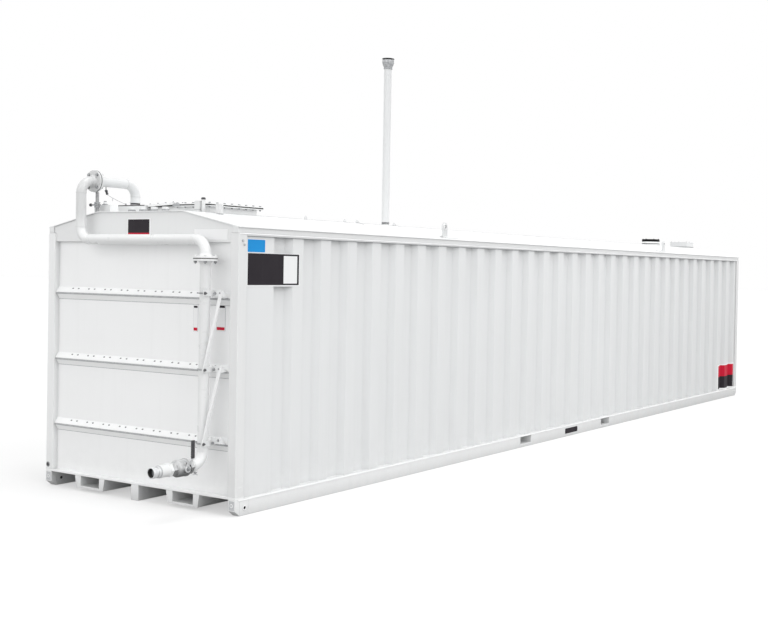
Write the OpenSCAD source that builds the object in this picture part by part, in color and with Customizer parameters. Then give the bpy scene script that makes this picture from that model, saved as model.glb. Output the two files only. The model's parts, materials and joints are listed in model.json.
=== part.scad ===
// Skid-mounted, double-skinned diesel storage tank with corrugated sides and end pipework.
// Millimetres. X runs across the tank, Y along it (the pipework end is at -Y), Z up.
// The origin is the middle of the tank on the ground, on the underside of the centre runner.

/* [Body] */
// Length of the tank body over its end frames
tank_l = 12192; // [6058:1:14000]
// Width of the tank body over its side rails
tank_w = 2438; // [2200:1:2600]
// Height of the eaves above the ground
eave_h = 2435; // [2300:1:2900]
// Rise of the roof from the eaves to its flat top
roof_rise = 140; // [60:1:200]
// Width of the flat top of the roof
roof_flat_w = 1100; // [900:1:1400]
// Thickness of the roof sheet
roof_t = 6; // [3:0.5:10]
// Thickness of the floor sheet
floor_t = 6; // [4:0.5:10]

/* [Frame] */
// Height of the skid's side rails
rail_h = 140; // [120:1:180]
// Width of the skid's side rails
rail_w = 80; // [70:1:120]
// Width of the skid's centre runner
runner_w = 95; // [60:1:140]
// Width of a corner post, seen from the end
post_w = 95; // [80:1:130]
// Depth of a corner post, seen from the side
post_d = 100; // [80:1:140]
// How far a corner post's top stands below the eaves
post_drop = 55; // [45:1:80]
// How far the end beams stand behind the faces of the corner posts
header_set = 10; // [4:1:20]
// Depth of the roof's end beams, front to back
header_d = 80; // [60:1:120]
// Height of the roof's end beams below the eaves
header_h = 133; // [110:1:180]
// Height of the face of the top side rails
top_rail_h = 56; // [40:1:80]
// Width of the top side rails
top_rail_w = 70; // [60:1:90]
// Height of the lip along the bottom of the top side rails
lip_h = 13; // [8:1:20]
// How far that lip stands out from the rail's face
lip_out = 8; // [2:1:10]
// Height of the end sills
sill_h = 22; // [15:1:40]
// Height of the cross beams under the floor
beam_h = 80; // [60:1:100]
// Width of the cross beams under the floor
beam_w = 60; // [40:1:80]
// Spacing of the cross beams under the floor
beam_pitch = 1180; // [900:10:1400]
// Length of the solid block at each end of a side rail
rail_end_l = 160; // [150:1:220]
// Length of the sloped toe at each end of a side rail, and depth of the hole in its end
toe_l = 55; // [30:1:80]
// Height of that sloped toe
toe_h = 45; // [30:1:60]

/* [Side walls] */
// Thickness of the wall sheets
sheet_t = 5; // [3:0.5:8]
// How far the walls stand in from the side rails' faces
wall_set = 18; // [10:1:40]
// Pitch of the corrugations
corr_pitch = 377.5; // [340:0.5:420]
// Depth of the corrugations
corr_depth = 55; // [30:1:60]
// Length of each slope of a corrugation along the wall
corr_slope = 50; // [30:1:60]
// Length of the inner flat of a corrugation
corr_inner = 140; // [110:1:160]
// Distance of the first corrugation from the front of the tank
corr_first = 443; // [300:1:500]

/* [End walls] */
// How far the end walls stand behind the faces of the corner posts
panel_set = 50; // [35:1:60]
// Height of the lowest stiffener's nose above the ground
rib_z = 604; // [500:1:700]
// Spacing of the three stiffeners
rib_pitch = 616; // [500:1:650]
// How far a stiffener stands out of the wall
rib_out = 34; // [20:1:40]
// Height of a stiffener's upper slope
rib_top = 48; // [30:1:60]
// Height of a stiffener's lower slope, nose included
rib_low = 70; // [50:1:90]
// Height of a stiffener's blunt nose
rib_nose = 8; // [4:1:14]

/* [Lifting] */
// Distance between the two side fork pockets, centre to centre
fork_pitch = 2150; // [1900:10:2500]
// How far the pair of side fork pockets stands toward the front end
fork_shift = 201; // [0:1:400]
// Clear width of a fork pocket
fork_w = 250; // [220:1:360]
// Clear height of a fork pocket
fork_h = 88; // [70:1:90]
// Wall of a fork pocket
fork_t = 10; // [6:1:14]
// Height of a fork pocket's underside above the ground
fork_z = 28; // [14:1:30]
// Distance of the end pockets' centres from the middle of the tank
end_pocket_x = 600; // [450:1:750]
// Width of the wall on each side of an end pocket, at its top
end_pocket_side = 75; // [60:1:80]
// How far each of those walls narrows toward its foot
end_pocket_taper = 22; // [0:1:35]
// Length of the end pockets
end_pocket_l = 560; // [300:1:700]
// Radius of the tie-down holes in the side rails
tie_r = 13; // [10:0.5:18]
// Distance of the side tie-down holes from the ends
tie_y = 111; // [90:1:130]
// Height of the side tie-down holes
tie_z = 65; // [55:1:80]
// Radius of the holes in the rails' end faces
end_hole_r = 10; // [8:0.5:14]
// Height of the holes in the rails' end faces
end_hole_z = 92; // [80:1:105]
// Distance between the front and rear lifting lugs
lug_pitch = 5900; // [4000:10:8000]
// Distance of each lifting lug from the tank's side
lug_in = 89; // [75:1:150]
// Thickness of a lifting lug
lug_t = 20; // [12:1:30]
// Width of a lifting lug
lug_w = 90; // [70:1:120]
// Height of a lifting lug above its pad
lug_h = 140; // [110:1:180]
// Radius of a lifting lug's eye
lug_eye_r = 22.5; // [15:0.5:28]
// Length of a lifting lug's pad
lug_pad_l = 230; // [150:1:300]
// Width of a lifting lug's pad
lug_pad_w = 90; // [60:1:120]
// How far a lifting lug stands from the middle of its pad, toward the end of the tank
lug_shift = 80; // [0:1:90]
// Thickness of a lifting lug's pad
lug_pad_t = 12; // [8:1:20]

/* [Pipework] */
// Outside radius of the pipes
pipe_r = 44.45; // [38:0.05:57.15]
// Wall of the pipes
pipe_t = 5.5; // [3:0.5:8]
// Radius of the pipe bends, to the pipe's centre line
bend_r = 114; // [100:1:152]
// Distance of the riser pipe from the tank's right side
riser_in = 280; // [270:1:330]
// Distance of the upper upright pipe to the left of the tank's middle
upright_off = 639; // [560:1:700]
// Distance of the upright pipes' centres in front of the corner posts
pipe_off = 100; // [90:1:140]
// Height of the outlet's centre above the ground
outlet_z = 435; // [400:1:480]
// How far the riser's flange joint stands below the eaves
joint_drop = 275; // [270:1:315]
// How far the crosswise pipe stands below the eaves
run_drop = 115; // [75:1:120]
// How far the pipe that crosses to the roof stands above the eaves
over_rise = 422; // [395:1:465]
// Distance of the roof inlet behind the front of the tank
inlet_y = 510; // [470:1:600]
// Radius of the pipe flanges
flange_r = 100; // [90:1:110]
// Thickness of a pipe flange
flange_t = 19; // [14:1:24]
// Thickness of the gaskets between the flanges
gasket_t = 3; // [1:0.5:4]
// Distance of the upper flange joint behind the front of the tank
over_joint_y = 45; // [40:1:90]
// Radius of the roof inlet's collar
inlet_collar_r = 49; // [47:1:60]
// Height of the roof inlet's collar above its plinth
inlet_collar_h = 14; // [10:1:30]
// Thickness of the roof inlet's gasket
inlet_gasket_t = 14; // [8:1:16]
// Height of the roof inlet's plinth above the flat top of the roof
plinth_h = 80; // [60:1:90]
// Width of the roof inlet's plinth across the tank
plinth_w = 440; // [300:1:460]
// Length of the roof inlet's plinth along the tank
plinth_l = 320; // [240:1:330]
// Distance of the roof inlet's plinth to the right of its pipe
plinth_shift = 90; // [0:1:100]
// Distance of the post's centre behind the upper flange joint
support_back = 30; // [10:1:32]
// Radius of the post under the upper flange joint
support_r = 15.5; // [12:0.5:20]
// Height of the cock on that post above the flat top of the roof
cock_h = 67; // [50:1:90]
// Thickness of the brackets' plates
bracket_t = 8; // [6:1:12]
// Height of the brackets' face plates
bracket_h = 56; // [48:1:66]
// How far the brackets reach to the right of the riser pipe's centre
bracket_reach = 154; // [120:1:160]
// Heights of the brackets' face plates above the stiffeners
bracket_lifts = [32, 15, 34]; // [10:1:40]
// Heights of the U-bolts above the stiffeners
ubolt_lifts = [8, 12, 35]; // [5:1:40]
// Radius of the bar of the U-bolts
ubolt_r = 6; // [5:0.5:8]
// Width of the pipe brace bars
brace_w = 30; // [20:1:40]
// Thickness of the pipe brace bars
brace_t = 6; // [4:1:8]

/* [Outlet] */
// Length of the straight stub between the bend and the valve
stub_l = 22; // [15:1:40]
// Length of the valve body between its ends
valve_l = 216; // [200:1:260]
// Radius of the valve's round body
valve_r = 72; // [64:1:80]
// Length of the valve's round body
valve_body_l = 106; // [90:1:120]
// Width across the flats of the valve's hexagonal ends
valve_af = 112; // [104:1:126]
// Length of the stem boss beyond the round body
boss_l = 16; // [10:1:24]
// Radius of the stem boss
boss_r = 26; // [20:1:30]
// Radius of the valve's stem
stem_r = 9; // [8:0.5:12]
// Running gap between the stem and the lever's hub
stem_gap = 0.05; // [0.02:0.01:0.1]
// Thickness of the lever
lever_t = 8; // [6:1:10]
// Width of the lever's bar
lever_w = 32; // [26:1:36]
// Radius of the lever's hub
hub_r = 28; // [24:1:32]
// Height of the lever's top above its hub
lever_l = 238; // [200:1:260]
// How far the lever is cranked away from the valve
crank_out = 52; // [40:1:60]
// Height above the hub at which the crank starts
crank_z = 40; // [36:1:50]
// Height of the crank
crank_h = 52; // [40:1:60]
// Thickness of the lever's sleeve
grip_t = 3; // [2:0.5:5]
// Length of the lever's sleeve
grip_l = 132; // [100:1:140]
// Radius of the outlet's sleeve
sleeve_r = 52; // [49:0.5:58]
// Length of the outlet's sleeve
sleeve_l = 118; // [90:1:150]
// Outside radius of the hose adapter
adapter_r = 45.7; // [44:0.1:47]
// Radius at the bottom of the adapter's groove
groove_r = 40.5; // [39.5:0.1:42]
// Width of the adapter's groove
groove_w = 16; // [12:1:20]
// Length of the adapter's end ring
ring_l = 38; // [20:1:44]
// Length of the adapter between the sleeve and its groove
neck_l = 26; // [10:1:34]
// Wall of the adapter behind its groove
adapter_wall = 3; // [2.5:0.5:3.5]
// Radius of the drain plug's boss
drain_r = 16; // [12:1:20]
// How far the drain plug hangs below the pipe
drain_l = 22; // [16:1:44]
// Distance of the drain plug behind the front end of the pipe's bend
drain_in = 36; // [16:1:50]

/* [Vent] */
// Distance of the vent behind the front of the tank
vent_y = 3577; // [3000:1:4200]
// Height of the top of the vent pipe above the flat top of the roof
vent_l = 1859; // [1000:1:2200]
// Height of the vent's collar
vent_collar_h = 44; // [30:1:70]
// Radius of the vent's collar
vent_collar_r = 50; // [47:1:60]
// Height of the vent's seal
vent_seal_h = 28; // [16:1:36]
// Radius of the vent's cap
cap_r = 69; // [60:1:80]
// Height of the rim of the vent's cap
cap_rim_h = 34; // [20:1:50]
// Height of the widening cone of the vent's cap
cap_cone_h = 52; // [40:1:70]
// How far the vent's cap hangs over the pipe's end
cap_over = 20; // [10:1:30]
// Height of the slot under the lid of the vent's cap
cap_slot_h = 12; // [8:1:20]
// Thickness of the lid of the vent's cap
cap_lid_t = 6; // [4:1:10]

/* [Roof fittings] */
// Middle of the manway across the tank
manway_x = 265; // [200:1:300]
// Distance of the middle of the manway behind the front of the tank
manway_y = 710; // [600:1:900]
// Width of the manway's lid
manway_w = 450; // [420:1:500]
// Length of the manway's lid
manway_l = 680; // [600:1:760]
// Height of the manway's collar
manway_h = 70; // [50:1:90]
// How far the lids stand out over their collars
manway_over = 42; // [20:1:60]
// Wall of the manway's collar
manway_wall = 8; // [6:1:12]
// Thickness of the flanges and lids of the manway
lid_t = 10; // [8:1:12]
// Thickness of the manway's gasket
lid_gasket_t = 8; // [4:1:10]
// Width of the gauge cover beside the manway
cover_w = 335; // [240:1:340]
// Length of the gauge cover
cover_l = 360; // [240:1:500]
// Thickness of the gauge cover
cover_t = 22; // [14:1:28]
// How far the gauge cover falls away from the manway
cover_fall = 16; // [0:1:24]
// Width of the meter box
meter_w = 62; // [50:1:100]
// Length of the meter box along the tank
meter_l = 60; // [40:1:80]
// Height of the meter box
meter_h = 100; // [70:1:110]
// Radius of the pillar beside the meter box
pillar_r = 17; // [14:1:22]
// How far the pillar stands above the meter box
pillar_rise = 12; // [0:1:20]
// Distance of the meter box in front of the manway's lid
meter_gap = 90; // [60:1:120]
// Width of the sender box
sender_w = 48; // [40:1:90]
// Height of the sender box
sender_h = 76; // [60:1:100]
// Distance of the sender box from the manway's lid, to the right
sender_gap = 98; // [30:1:120]
// Radius of the front row of roof caps
cap_row_r = 30; // [22:1:32]
// Height of the front row of roof caps
cap_row_h = 40; // [20:1:50]
// How far the third front roof cap stands to the right of the manway's left edge
cap_row_shift = 12; // [0:1:30]
// Distance between the front roof caps
cap_row_pitch = 145; // [100:1:160]
// Distance of the front roof caps behind the front of the tank
cap_row_y = 130; // [120:1:200]
// Radius of the plugs along the roof's edge
plug_r = 15; // [10:1:25]
// Height of the plugs along the roof's edge
plug_h = 30; // [20:1:50]
// Distance of those plugs from the edge of the flat top of the roof
plug_in = 50; // [30:1:90]
// Distances of those plugs behind the front of the tank
plug_ys = [1634, 2235, 2440, 3080]; // [500:1:5000]
// Radius of the rear hatch's neck
hatch_r = 150; // [120:1:180]
// Height of the rear hatch's neck
hatch_h = 108; // [60:1:120]
// Radius of the rear hatch's lid
hatch_lid_r = 172; // [160:1:200]
// Thickness of the rear hatch's lid
hatch_lid_t = 34; // [20:1:40]
// Distance of the rear hatch in front of the rear of the tank
hatch_y = 1082; // [900:1:3000]
// Length of the rear inspection box along the tank
box_l = 300; // [200:1:360]
// Width of the rear inspection box
box_w = 320; // [200:1:400]
// Height of the rear inspection box
box_h = 104; // [60:1:120]
// Distance of the rear inspection box in front of the rear of the tank
box_y = 412; // [300:1:500]
// Distance of the rear inspection box from the middle of the tank
box_x = 300; // [200:1:340]

/* [Plates] */
// Thickness of the blank plates
plate_t = 2; // [1:0.5:3]
// Width of the plate in the middle of the front beam
head_plate_w = 290; // [200:1:400]
// Height of that plate
head_plate_h = 146; // [100:1:180]
// Width of the strip plate at the right of the front beam
strip_w = 390; // [300:1:400]
// Height of that strip plate
strip_h = 91; // [60:1:95]
// Distance of the middle of the long plate from the tank's right side
strip_in = 335; // [320:1:400]
// Height of the strip plate's foot above the front beam's lower edge
strip_lift = 20; // [5:1:35]
// Gap between a side plate and the corner post
side_plate_gap = 11; // [2:1:20]
// Length of the upper side plate
name_plate_l = 221; // [150:1:300]
// Height of the upper side plate
name_plate_h = 114; // [80:1:140]
// How far the top of the upper side plate stands below the eaves
name_plate_drop = 100; // [90:1:120]
// Length of the lower side plate
notice_plate_l = 660; // [300:1:660]
// Height of the lower side plate
notice_plate_h = 288; // [200:1:300]
// Gap between the two side plates
plate_row_gap = 1.5; // [1:0.5:40]

/* [Hidden] */
$fn = 64;

white = "whitesmoke";
half_w = tank_w / 2;
riser_x = half_w - riser_in;
upright_x = -upright_off;
strip_x = half_w - strip_in;
lug_x = half_w - lug_in;
half_l = tank_l / 2;
y_front = -half_l;
y_rear = half_l;
roof_top = eave_h + roof_rise;
roof_half_flat = roof_flat_w / 2;
roof_slope = roof_rise / (half_w - roof_half_flat);
wall_x = half_w - wall_set;
wall_in_x = wall_x - corr_depth;
wall_top = eave_h - roof_t - top_rail_h - lip_h;
post_top = eave_h - post_drop;
post_in_x = half_w - post_w;
sill_top = rail_h + sill_h;
header_low = eave_h - header_h;
panel_y = y_front + panel_set;
corr_len = 2 * corr_slope + corr_inner;
corr_margin = 40;
corr_room = tank_l - corr_first - post_d - corr_margin - corr_len;
corr_n = floor(corr_room / corr_pitch) + 1;
fork_ys = [-fork_shift - fork_pitch / 2, -fork_shift + fork_pitch / 2];
fork_out = fork_w + 2 * fork_t;
beam_n = floor((half_l - post_d - end_pocket_l - beam_w) / beam_pitch);
seat_gap = 0.3;
roof_gap = 0.05;

// Height of the roof's upper surface at a distance x from the middle.
function roof_z(x) = abs(x) <= roof_half_flat ? roof_top : roof_top - (abs(x) - roof_half_flat) * roof_slope;

// Height of what bears the roof sheet at a distance x from the middle.
function under_z(x) = roof_z(x) - roof_t - roof_gap;

// A block between two corners.
module block(x0, x1, y0, y1, z0, z1) {
    translate([x0, y0, z0]) cube([x1 - x0, y1 - y0, z1 - z0]);
}
// A profile drawn in X and Z, run along Y.
module along_y(y0, y1) {
    translate([0, y1, 0]) rotate([90, 0, 0]) linear_extrude(y1 - y0) children();
}
// A profile drawn in Y and Z, run along X.
module along_x(x0, x1) {
    translate([x0, 0, 0]) rotate([90, 0, 90]) linear_extrude(x1 - x0) children();
}
// The same shape at both sides or both ends.
module both_sides() { children(); mirror([1, 0, 0]) children(); }
module both_ends() { children(); mirror([0, 1, 0]) children(); }

/* Skid */
module pocket_notches(x0, x1) {
    for (y = fork_ys) block(x0, x1, y - fork_out / 2, y + fork_out / 2, fork_z, rail_h + 1);
}
module base_rails() {
    color(white) both_sides() difference() {
        block(half_w - rail_w, half_w, y_front + rail_end_l, y_rear - rail_end_l, 0, rail_h);
        pocket_notches(half_w - rail_w - 1, half_w + 1);
    }
}
module rail_ends() {
    color(white) both_sides() both_ends() difference() {
        block(half_w - rail_w, half_w, y_front + toe_l, y_front + rail_end_l, 0, rail_h);
        rod_x(half_w - rail_w - 1, half_w + 1, y_front + tie_y, tie_z, tie_r);
    }
}
module rail_toes() {
    color(white) both_sides() both_ends() difference() {
        along_x(half_w - rail_w, half_w)
            polygon([
                [y_front, toe_h], [y_front + toe_l, 0],
                [y_front + toe_l, rail_h], [y_front, rail_h]
            ]);
        rod_y(half_w - rail_w / 2, y_front - 1, y_front + toe_l + 1, end_hole_z, end_hole_r);
    }
}
module centre_runner() {
    color(white) difference() {
        block(-runner_w / 2, runner_w / 2, y_front, y_rear, 0, rail_h);
        pocket_notches(-runner_w, runner_w);
    }
}
module cross_beams() {
    color("lightgray") both_sides() {
        for (i = [-beam_n:beam_n])
            if (min([for (y = fork_ys) abs(i * beam_pitch - y)]) > (fork_out + beam_w) / 2)
                block(runner_w / 2, half_w - rail_w, i * beam_pitch - beam_w / 2, i * beam_pitch + beam_w / 2,
                      rail_h - beam_h, rail_h);
    }
}
module fork_pockets() {
    color("lightgray") for (y = fork_ys)
        translate([0, y, fork_z]) difference() {
            block(-half_w, half_w, -fork_out / 2, fork_out / 2, 0, rail_h - fork_z);
            block(-half_w - 1, half_w + 1, -fork_w / 2, fork_w / 2, fork_t, fork_t + fork_h);
        }
}
module end_pocket() {
    w = fork_w + 2 * end_pocket_side;
    translate([end_pocket_x, y_front, fork_z]) difference() {
        along_y(0, end_pocket_l)
            polygon([
                [end_pocket_taper - w / 2, 0], [w / 2 - end_pocket_taper, 0],
                [w / 2, rail_h - fork_z], [-w / 2, rail_h - fork_z]
            ]);
        block(-fork_w / 2, fork_w / 2, -1, end_pocket_l + 1, 2 * fork_t, rail_h - fork_z + 1);
    }
}
module end_pockets() { color(white) both_sides() both_ends() end_pocket(); }
module tank_floor() {
    color("lightgray")
        block(sheet_t - wall_in_x, wall_in_x - sheet_t, y_front + post_d, y_rear - post_d,
              rail_h, rail_h + floor_t);
}

/* Frame */
module end_sills() {
    color(white) both_ends()
        block(-half_w, half_w, y_front, y_front + post_d, rail_h, sill_top);
}
module corner_posts() {
    color(white) both_sides() both_ends()
        block(post_in_x, half_w, y_front, y_front + post_d, sill_top, post_top);
}
module end_header() {
    along_y(y_front + header_set, y_front + header_set + header_d)
        polygon([
            [-post_in_x, header_low], [post_in_x, header_low], [post_in_x, post_top],
            [half_w - top_rail_w, post_top],
            [half_w - top_rail_w, under_z(half_w - top_rail_w)], [roof_half_flat, under_z(0)],
            [-roof_half_flat, under_z(0)], [-half_w + top_rail_w, under_z(half_w - top_rail_w)],
            [-half_w + top_rail_w, post_top], [-post_in_x, post_top]
        ]);
}
module end_headers() { color(white) both_ends() end_header(); }
module top_rails() {
    x_in = half_w - top_rail_w;
    color(white) both_sides() difference() {
        along_y(y_front, y_rear)
            polygon([
                [x_in, wall_top], [half_w, wall_top], [half_w, wall_top + lip_h],
                [half_w - lip_out, wall_top + lip_h], [half_w - lip_out, under_z(half_w - lip_out)],
                [x_in, under_z(x_in)]
            ]);
        both_ends() block(x_in - 1, half_w + 1, y_front - 1, y_front + post_d, wall_top - 1, post_top);
    }
}

/* Walls */
function corr_points(x, d) = concat(
    [[x, y_front + post_d]],
    [for (k = [0:corr_n - 1]) let (y = y_front + corr_first + k * corr_pitch)
        each [[x, y], [x - d, y + corr_slope], [x - d, y + corr_slope + corr_inner], [x, y + corr_len]]],
    [[x, y_rear - post_d]]
);
module side_wall() {
    outer = corr_points(wall_x, corr_depth);
    inner = corr_points(wall_x - sheet_t, corr_depth);
    translate([0, 0, rail_h]) linear_extrude(wall_top - rail_h)
        polygon(concat(outer, [for (i = [len(inner) - 1:-1:0]) inner[i]]));
}
module side_wall_right() { color(white) side_wall(); }
module side_wall_left() { color(white) mirror([1, 0, 0]) side_wall(); }
module end_wall() {
    block(-post_in_x, post_in_x, panel_y, panel_y + sheet_t, sill_top, header_low);
}
module front_wall() { color(white) end_wall(); }
module rear_wall() { color(white) mirror([0, 1, 0]) end_wall(); }
module end_ribs() {
    color(white) both_ends() for (i = [0:2]) let (z = rib_z + i * rib_pitch)
        along_x(-post_in_x, post_in_x)
            polygon([
                [panel_y, z + rib_top], [panel_y - rib_out, z], [panel_y - rib_out, z - rib_nose],
                [panel_y, z - rib_low]
            ]);
}
module roof_sheet() {
    color(white) along_y(y_front, y_rear)
        polygon([
            [half_w, eave_h], [roof_half_flat, roof_top], [-roof_half_flat, roof_top], [-half_w, eave_h],
            [-half_w, eave_h - roof_t], [-roof_half_flat, roof_top - roof_t],
            [roof_half_flat, roof_top - roof_t], [half_w, eave_h - roof_t]
        ]);
}

/* Fill pipework */
pipe_line_y = y_front - pipe_off;
pipe_in_r = pipe_r - pipe_t;
outlet_start = pipe_line_y - bend_r - stub_l;
valve_mid = outlet_start - valve_l / 2;
valve_end = outlet_start - valve_l;
joint_half = gasket_t / 2;
joint_z = eave_h - joint_drop;
run_z = eave_h - run_drop;
over_z = eave_h + over_rise;
over_y = y_front + over_joint_y;
inlet_at = y_front + inlet_y;
plinth_top = roof_top + plinth_h;
inlet_gasket_z = plinth_top + inlet_collar_h;
upper_collar_h = 12;
saddle_y = pipe_line_y + pipe_r + seat_gap;
saddle_back = saddle_y + bracket_t;
rib_face_y = panel_y - rib_out;
cheek_x = riser_x + pipe_r + seat_gap;
arm_x = riser_x + bracket_reach - bracket_t;
ubolt_run_r = pipe_r + ubolt_r + seat_gap;
cheek_front = pipe_line_y - ubolt_run_r - 2.5 * ubolt_r;
rib_zs = [for (i = [0:2]) rib_z + i * rib_pitch];
bracket_zs = rib_zs + bracket_lifts;
ubolt_zs = rib_zs + ubolt_lifts;

// Everything below the roof's upper surface, for cutting the feet of what stands on it.
module under_roof() {
    along_y(y_front - 1, y_rear + 1)
        polygon([
            [half_w, 0], [half_w, eave_h], [roof_half_flat, roof_top], [-roof_half_flat, roof_top],
            [-half_w, eave_h], [-half_w, 0]
        ]);
}
module rod_z(x, y, z0, z1, r) { translate([x, y, z0]) cylinder(r = r, h = z1 - z0); }
module rod_y(x, y0, y1, z, r) { translate([x, y0, z]) rotate([-90, 0, 0]) cylinder(r = r, h = y1 - y0); }
module rod_x(x0, x1, y, z, r) { translate([x0, y, z]) rotate([0, 90, 0]) cylinder(r = r, h = x1 - x0); }
// A quarter bend of a round bar about the point at.
module bend(at, turn, r) {
    translate(at) rotate(turn) rotate_extrude(angle = 90) translate([bend_r, 0]) circle(r = r);
}
// The lower run: upright, bend and stub, at radius r.
module riser_run(r, over) {
    rod_z(riser_x, pipe_line_y, outlet_z + bend_r, joint_z - joint_half + over, r);
    bend([riser_x, pipe_line_y - bend_r, outlet_z + bend_r], [-90, 0, 90], r);
    rod_y(riser_x, outlet_start - over, pipe_line_y - bend_r, outlet_z, r);
}
module fill_riser() {
    color(white) difference() {
        union() {
            riser_run(pipe_r, 0);
            rod_z(riser_x, pipe_line_y, joint_z - joint_half - flange_t, joint_z - joint_half, flange_r);
            rod_z(riser_x, drain_y, drain_top - drain_l / 2, outlet_z, drain_r);
        }
        riser_run(pipe_in_r, 1);
    }
}
drain_top = outlet_z - pipe_r;
drain_y = outlet_start + stub_l + drain_in;
module drain_plug() {
    color("darkgray") translate([riser_x, drain_y, drain_top - drain_l])
        cylinder(r = drain_r - 1, h = drain_l / 2, $fn = 6);
}
// The upper run: over the end beam's face, up and back, at radius r.
module header_run(r, over) {
    rod_z(riser_x, pipe_line_y, joint_z + joint_half - over, run_z - bend_r, r);
    bend([riser_x - bend_r, pipe_line_y, run_z - bend_r], [90, 0, 0], r);
    rod_x(upright_x + bend_r, riser_x - bend_r, pipe_line_y, run_z, r);
    bend([upright_x + bend_r, pipe_line_y, run_z + bend_r], [90, 180, 0], r);
    rod_z(upright_x, pipe_line_y, run_z + bend_r, over_z - bend_r, r);
    bend([upright_x, pipe_line_y + bend_r, over_z - bend_r], [90, 0, -90], r);
    rod_y(upright_x, pipe_line_y + bend_r, over_y - joint_half + over, over_z, r);
}
module fill_header_pipe() {
    color(white) difference() {
        union() {
            header_run(pipe_r, 0);
            rod_z(riser_x, pipe_line_y, joint_z + joint_half, joint_z + joint_half + flange_t, flange_r);
            rod_y(upright_x, over_y - joint_half - flange_t, over_y - joint_half, over_z, flange_r);
        }
        header_run(pipe_in_r, 1);
    }
}
// The run from the upper joint to the roof, at radius r.
module cross_run(r, over) {
    rod_y(upright_x, over_y + joint_half - over, inlet_at - bend_r, over_z, r);
    bend([upright_x, inlet_at - bend_r, over_z - bend_r], [90, 0, 90], r);
    rod_z(upright_x, inlet_at, inlet_gasket_z + inlet_gasket_t - over, over_z - bend_r, r);
}
module crossover_pipe() {
    color(white) difference() {
        union() {
            cross_run(pipe_r, 0);
            rod_y(upright_x, over_y + joint_half, over_y + joint_half + flange_t, over_z, flange_r);
            rod_z(upright_x, inlet_at, inlet_gasket_z + inlet_gasket_t,
                  inlet_gasket_z + inlet_gasket_t + upper_collar_h, inlet_collar_r);
        }
        cross_run(pipe_in_r, 1);
    }
}
module flange_gaskets() {
    color("dimgray") {
        difference() {
            rod_z(riser_x, pipe_line_y, joint_z - joint_half, joint_z + joint_half, flange_r - 22);
            rod_z(riser_x, pipe_line_y, joint_z - 2 * gasket_t, joint_z + 2 * gasket_t, pipe_in_r);
        }
        difference() {
            rod_y(upright_x, over_y - joint_half, over_y + joint_half, over_z, flange_r - 22);
            rod_y(upright_x, over_y - 2 * gasket_t, over_y + 2 * gasket_t, over_z, pipe_in_r);
        }
        difference() {
            rod_z(upright_x, inlet_at, inlet_gasket_z, inlet_gasket_z + inlet_gasket_t, pipe_r - 1);
            rod_z(upright_x, inlet_at, inlet_gasket_z - 1, inlet_gasket_z + inlet_gasket_t + 1, pipe_in_r);
        }
    }
}
module roof_inlet() {
    color(white) difference() {
        rod_z(upright_x, inlet_at, plinth_top, inlet_gasket_z, inlet_collar_r);
        rod_z(upright_x, inlet_at, plinth_top - 1, inlet_gasket_z + 1, pipe_in_r);
    }
}
support_y = over_y + support_back;
cock_z = roof_top + cock_h;
module pipe_support() {
    color("gray") difference() {
        union() {
            rod_z(upright_x, support_y, eave_h, over_z - flange_r + flange_t, support_r);
            rod_z(upright_x, support_y, cock_z - flange_t, cock_z + flange_t, support_r * 1.4);
            rod_x(upright_x - 5 * support_r, upright_x + 3 * support_r, support_y, cock_z, support_r / 2.5);
        }
        rod_y(upright_x, support_y - flange_r, support_y + flange_r, over_z, flange_r + seat_gap);
        under_roof();
    }
}
// An upright plate from a front edge at y, around the height mid, back to the nose of a stiffener at z.
module bracket_arm(x, y, mid, half, z) {
    along_x(x, x + bracket_t)
        polygon([
            [y, mid - half], [y, mid + half], [saddle_back, mid + half],
            [rib_face_y, z], [rib_face_y, z - rib_nose], [saddle_back, mid - half]
        ]);
}
module pipe_brackets() {
    half = bracket_h / 2;
    color(white) for (i = [0:2]) {
        bracket_arm(cheek_x, cheek_front, ubolt_zs[i], half - ubolt_r / 2, rib_zs[i]);
        bracket_arm(arm_x, saddle_y, bracket_zs[i], half, rib_zs[i]);
        block(cheek_x, arm_x + bracket_t, saddle_y, saddle_back, bracket_zs[i] - half, bracket_zs[i] + half);
    }
}
module pipe_ubolts() {
    color("silver") for (z = ubolt_zs)
        translate([riser_x, pipe_line_y, z]) {
            rotate(90) rotate_extrude(angle = 180) translate([ubolt_run_r, 0]) circle(r = ubolt_r);
            both_ends() rod_x(0, pipe_r + seat_gap, ubolt_run_r, 0, ubolt_r);
        }
}
// Each brace runs from a bracket's upright plate up to the face of the bracket above.
module pipe_braces() {
    x0 = cheek_x + bracket_t;
    x1 = arm_x + bracket_t;
    half = brace_w / 2;
    color(white) for (i = [0:1]) hull() {
        block(x0, x0 + brace_t, cheek_front, cheek_front + brace_w, ubolt_zs[i] - half, ubolt_zs[i] + half);
        block(x1 - brace_w, x1, saddle_y - brace_t, saddle_y, bracket_zs[i + 1] - half,
              bracket_zs[i + 1] + half);
    }
}

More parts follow.
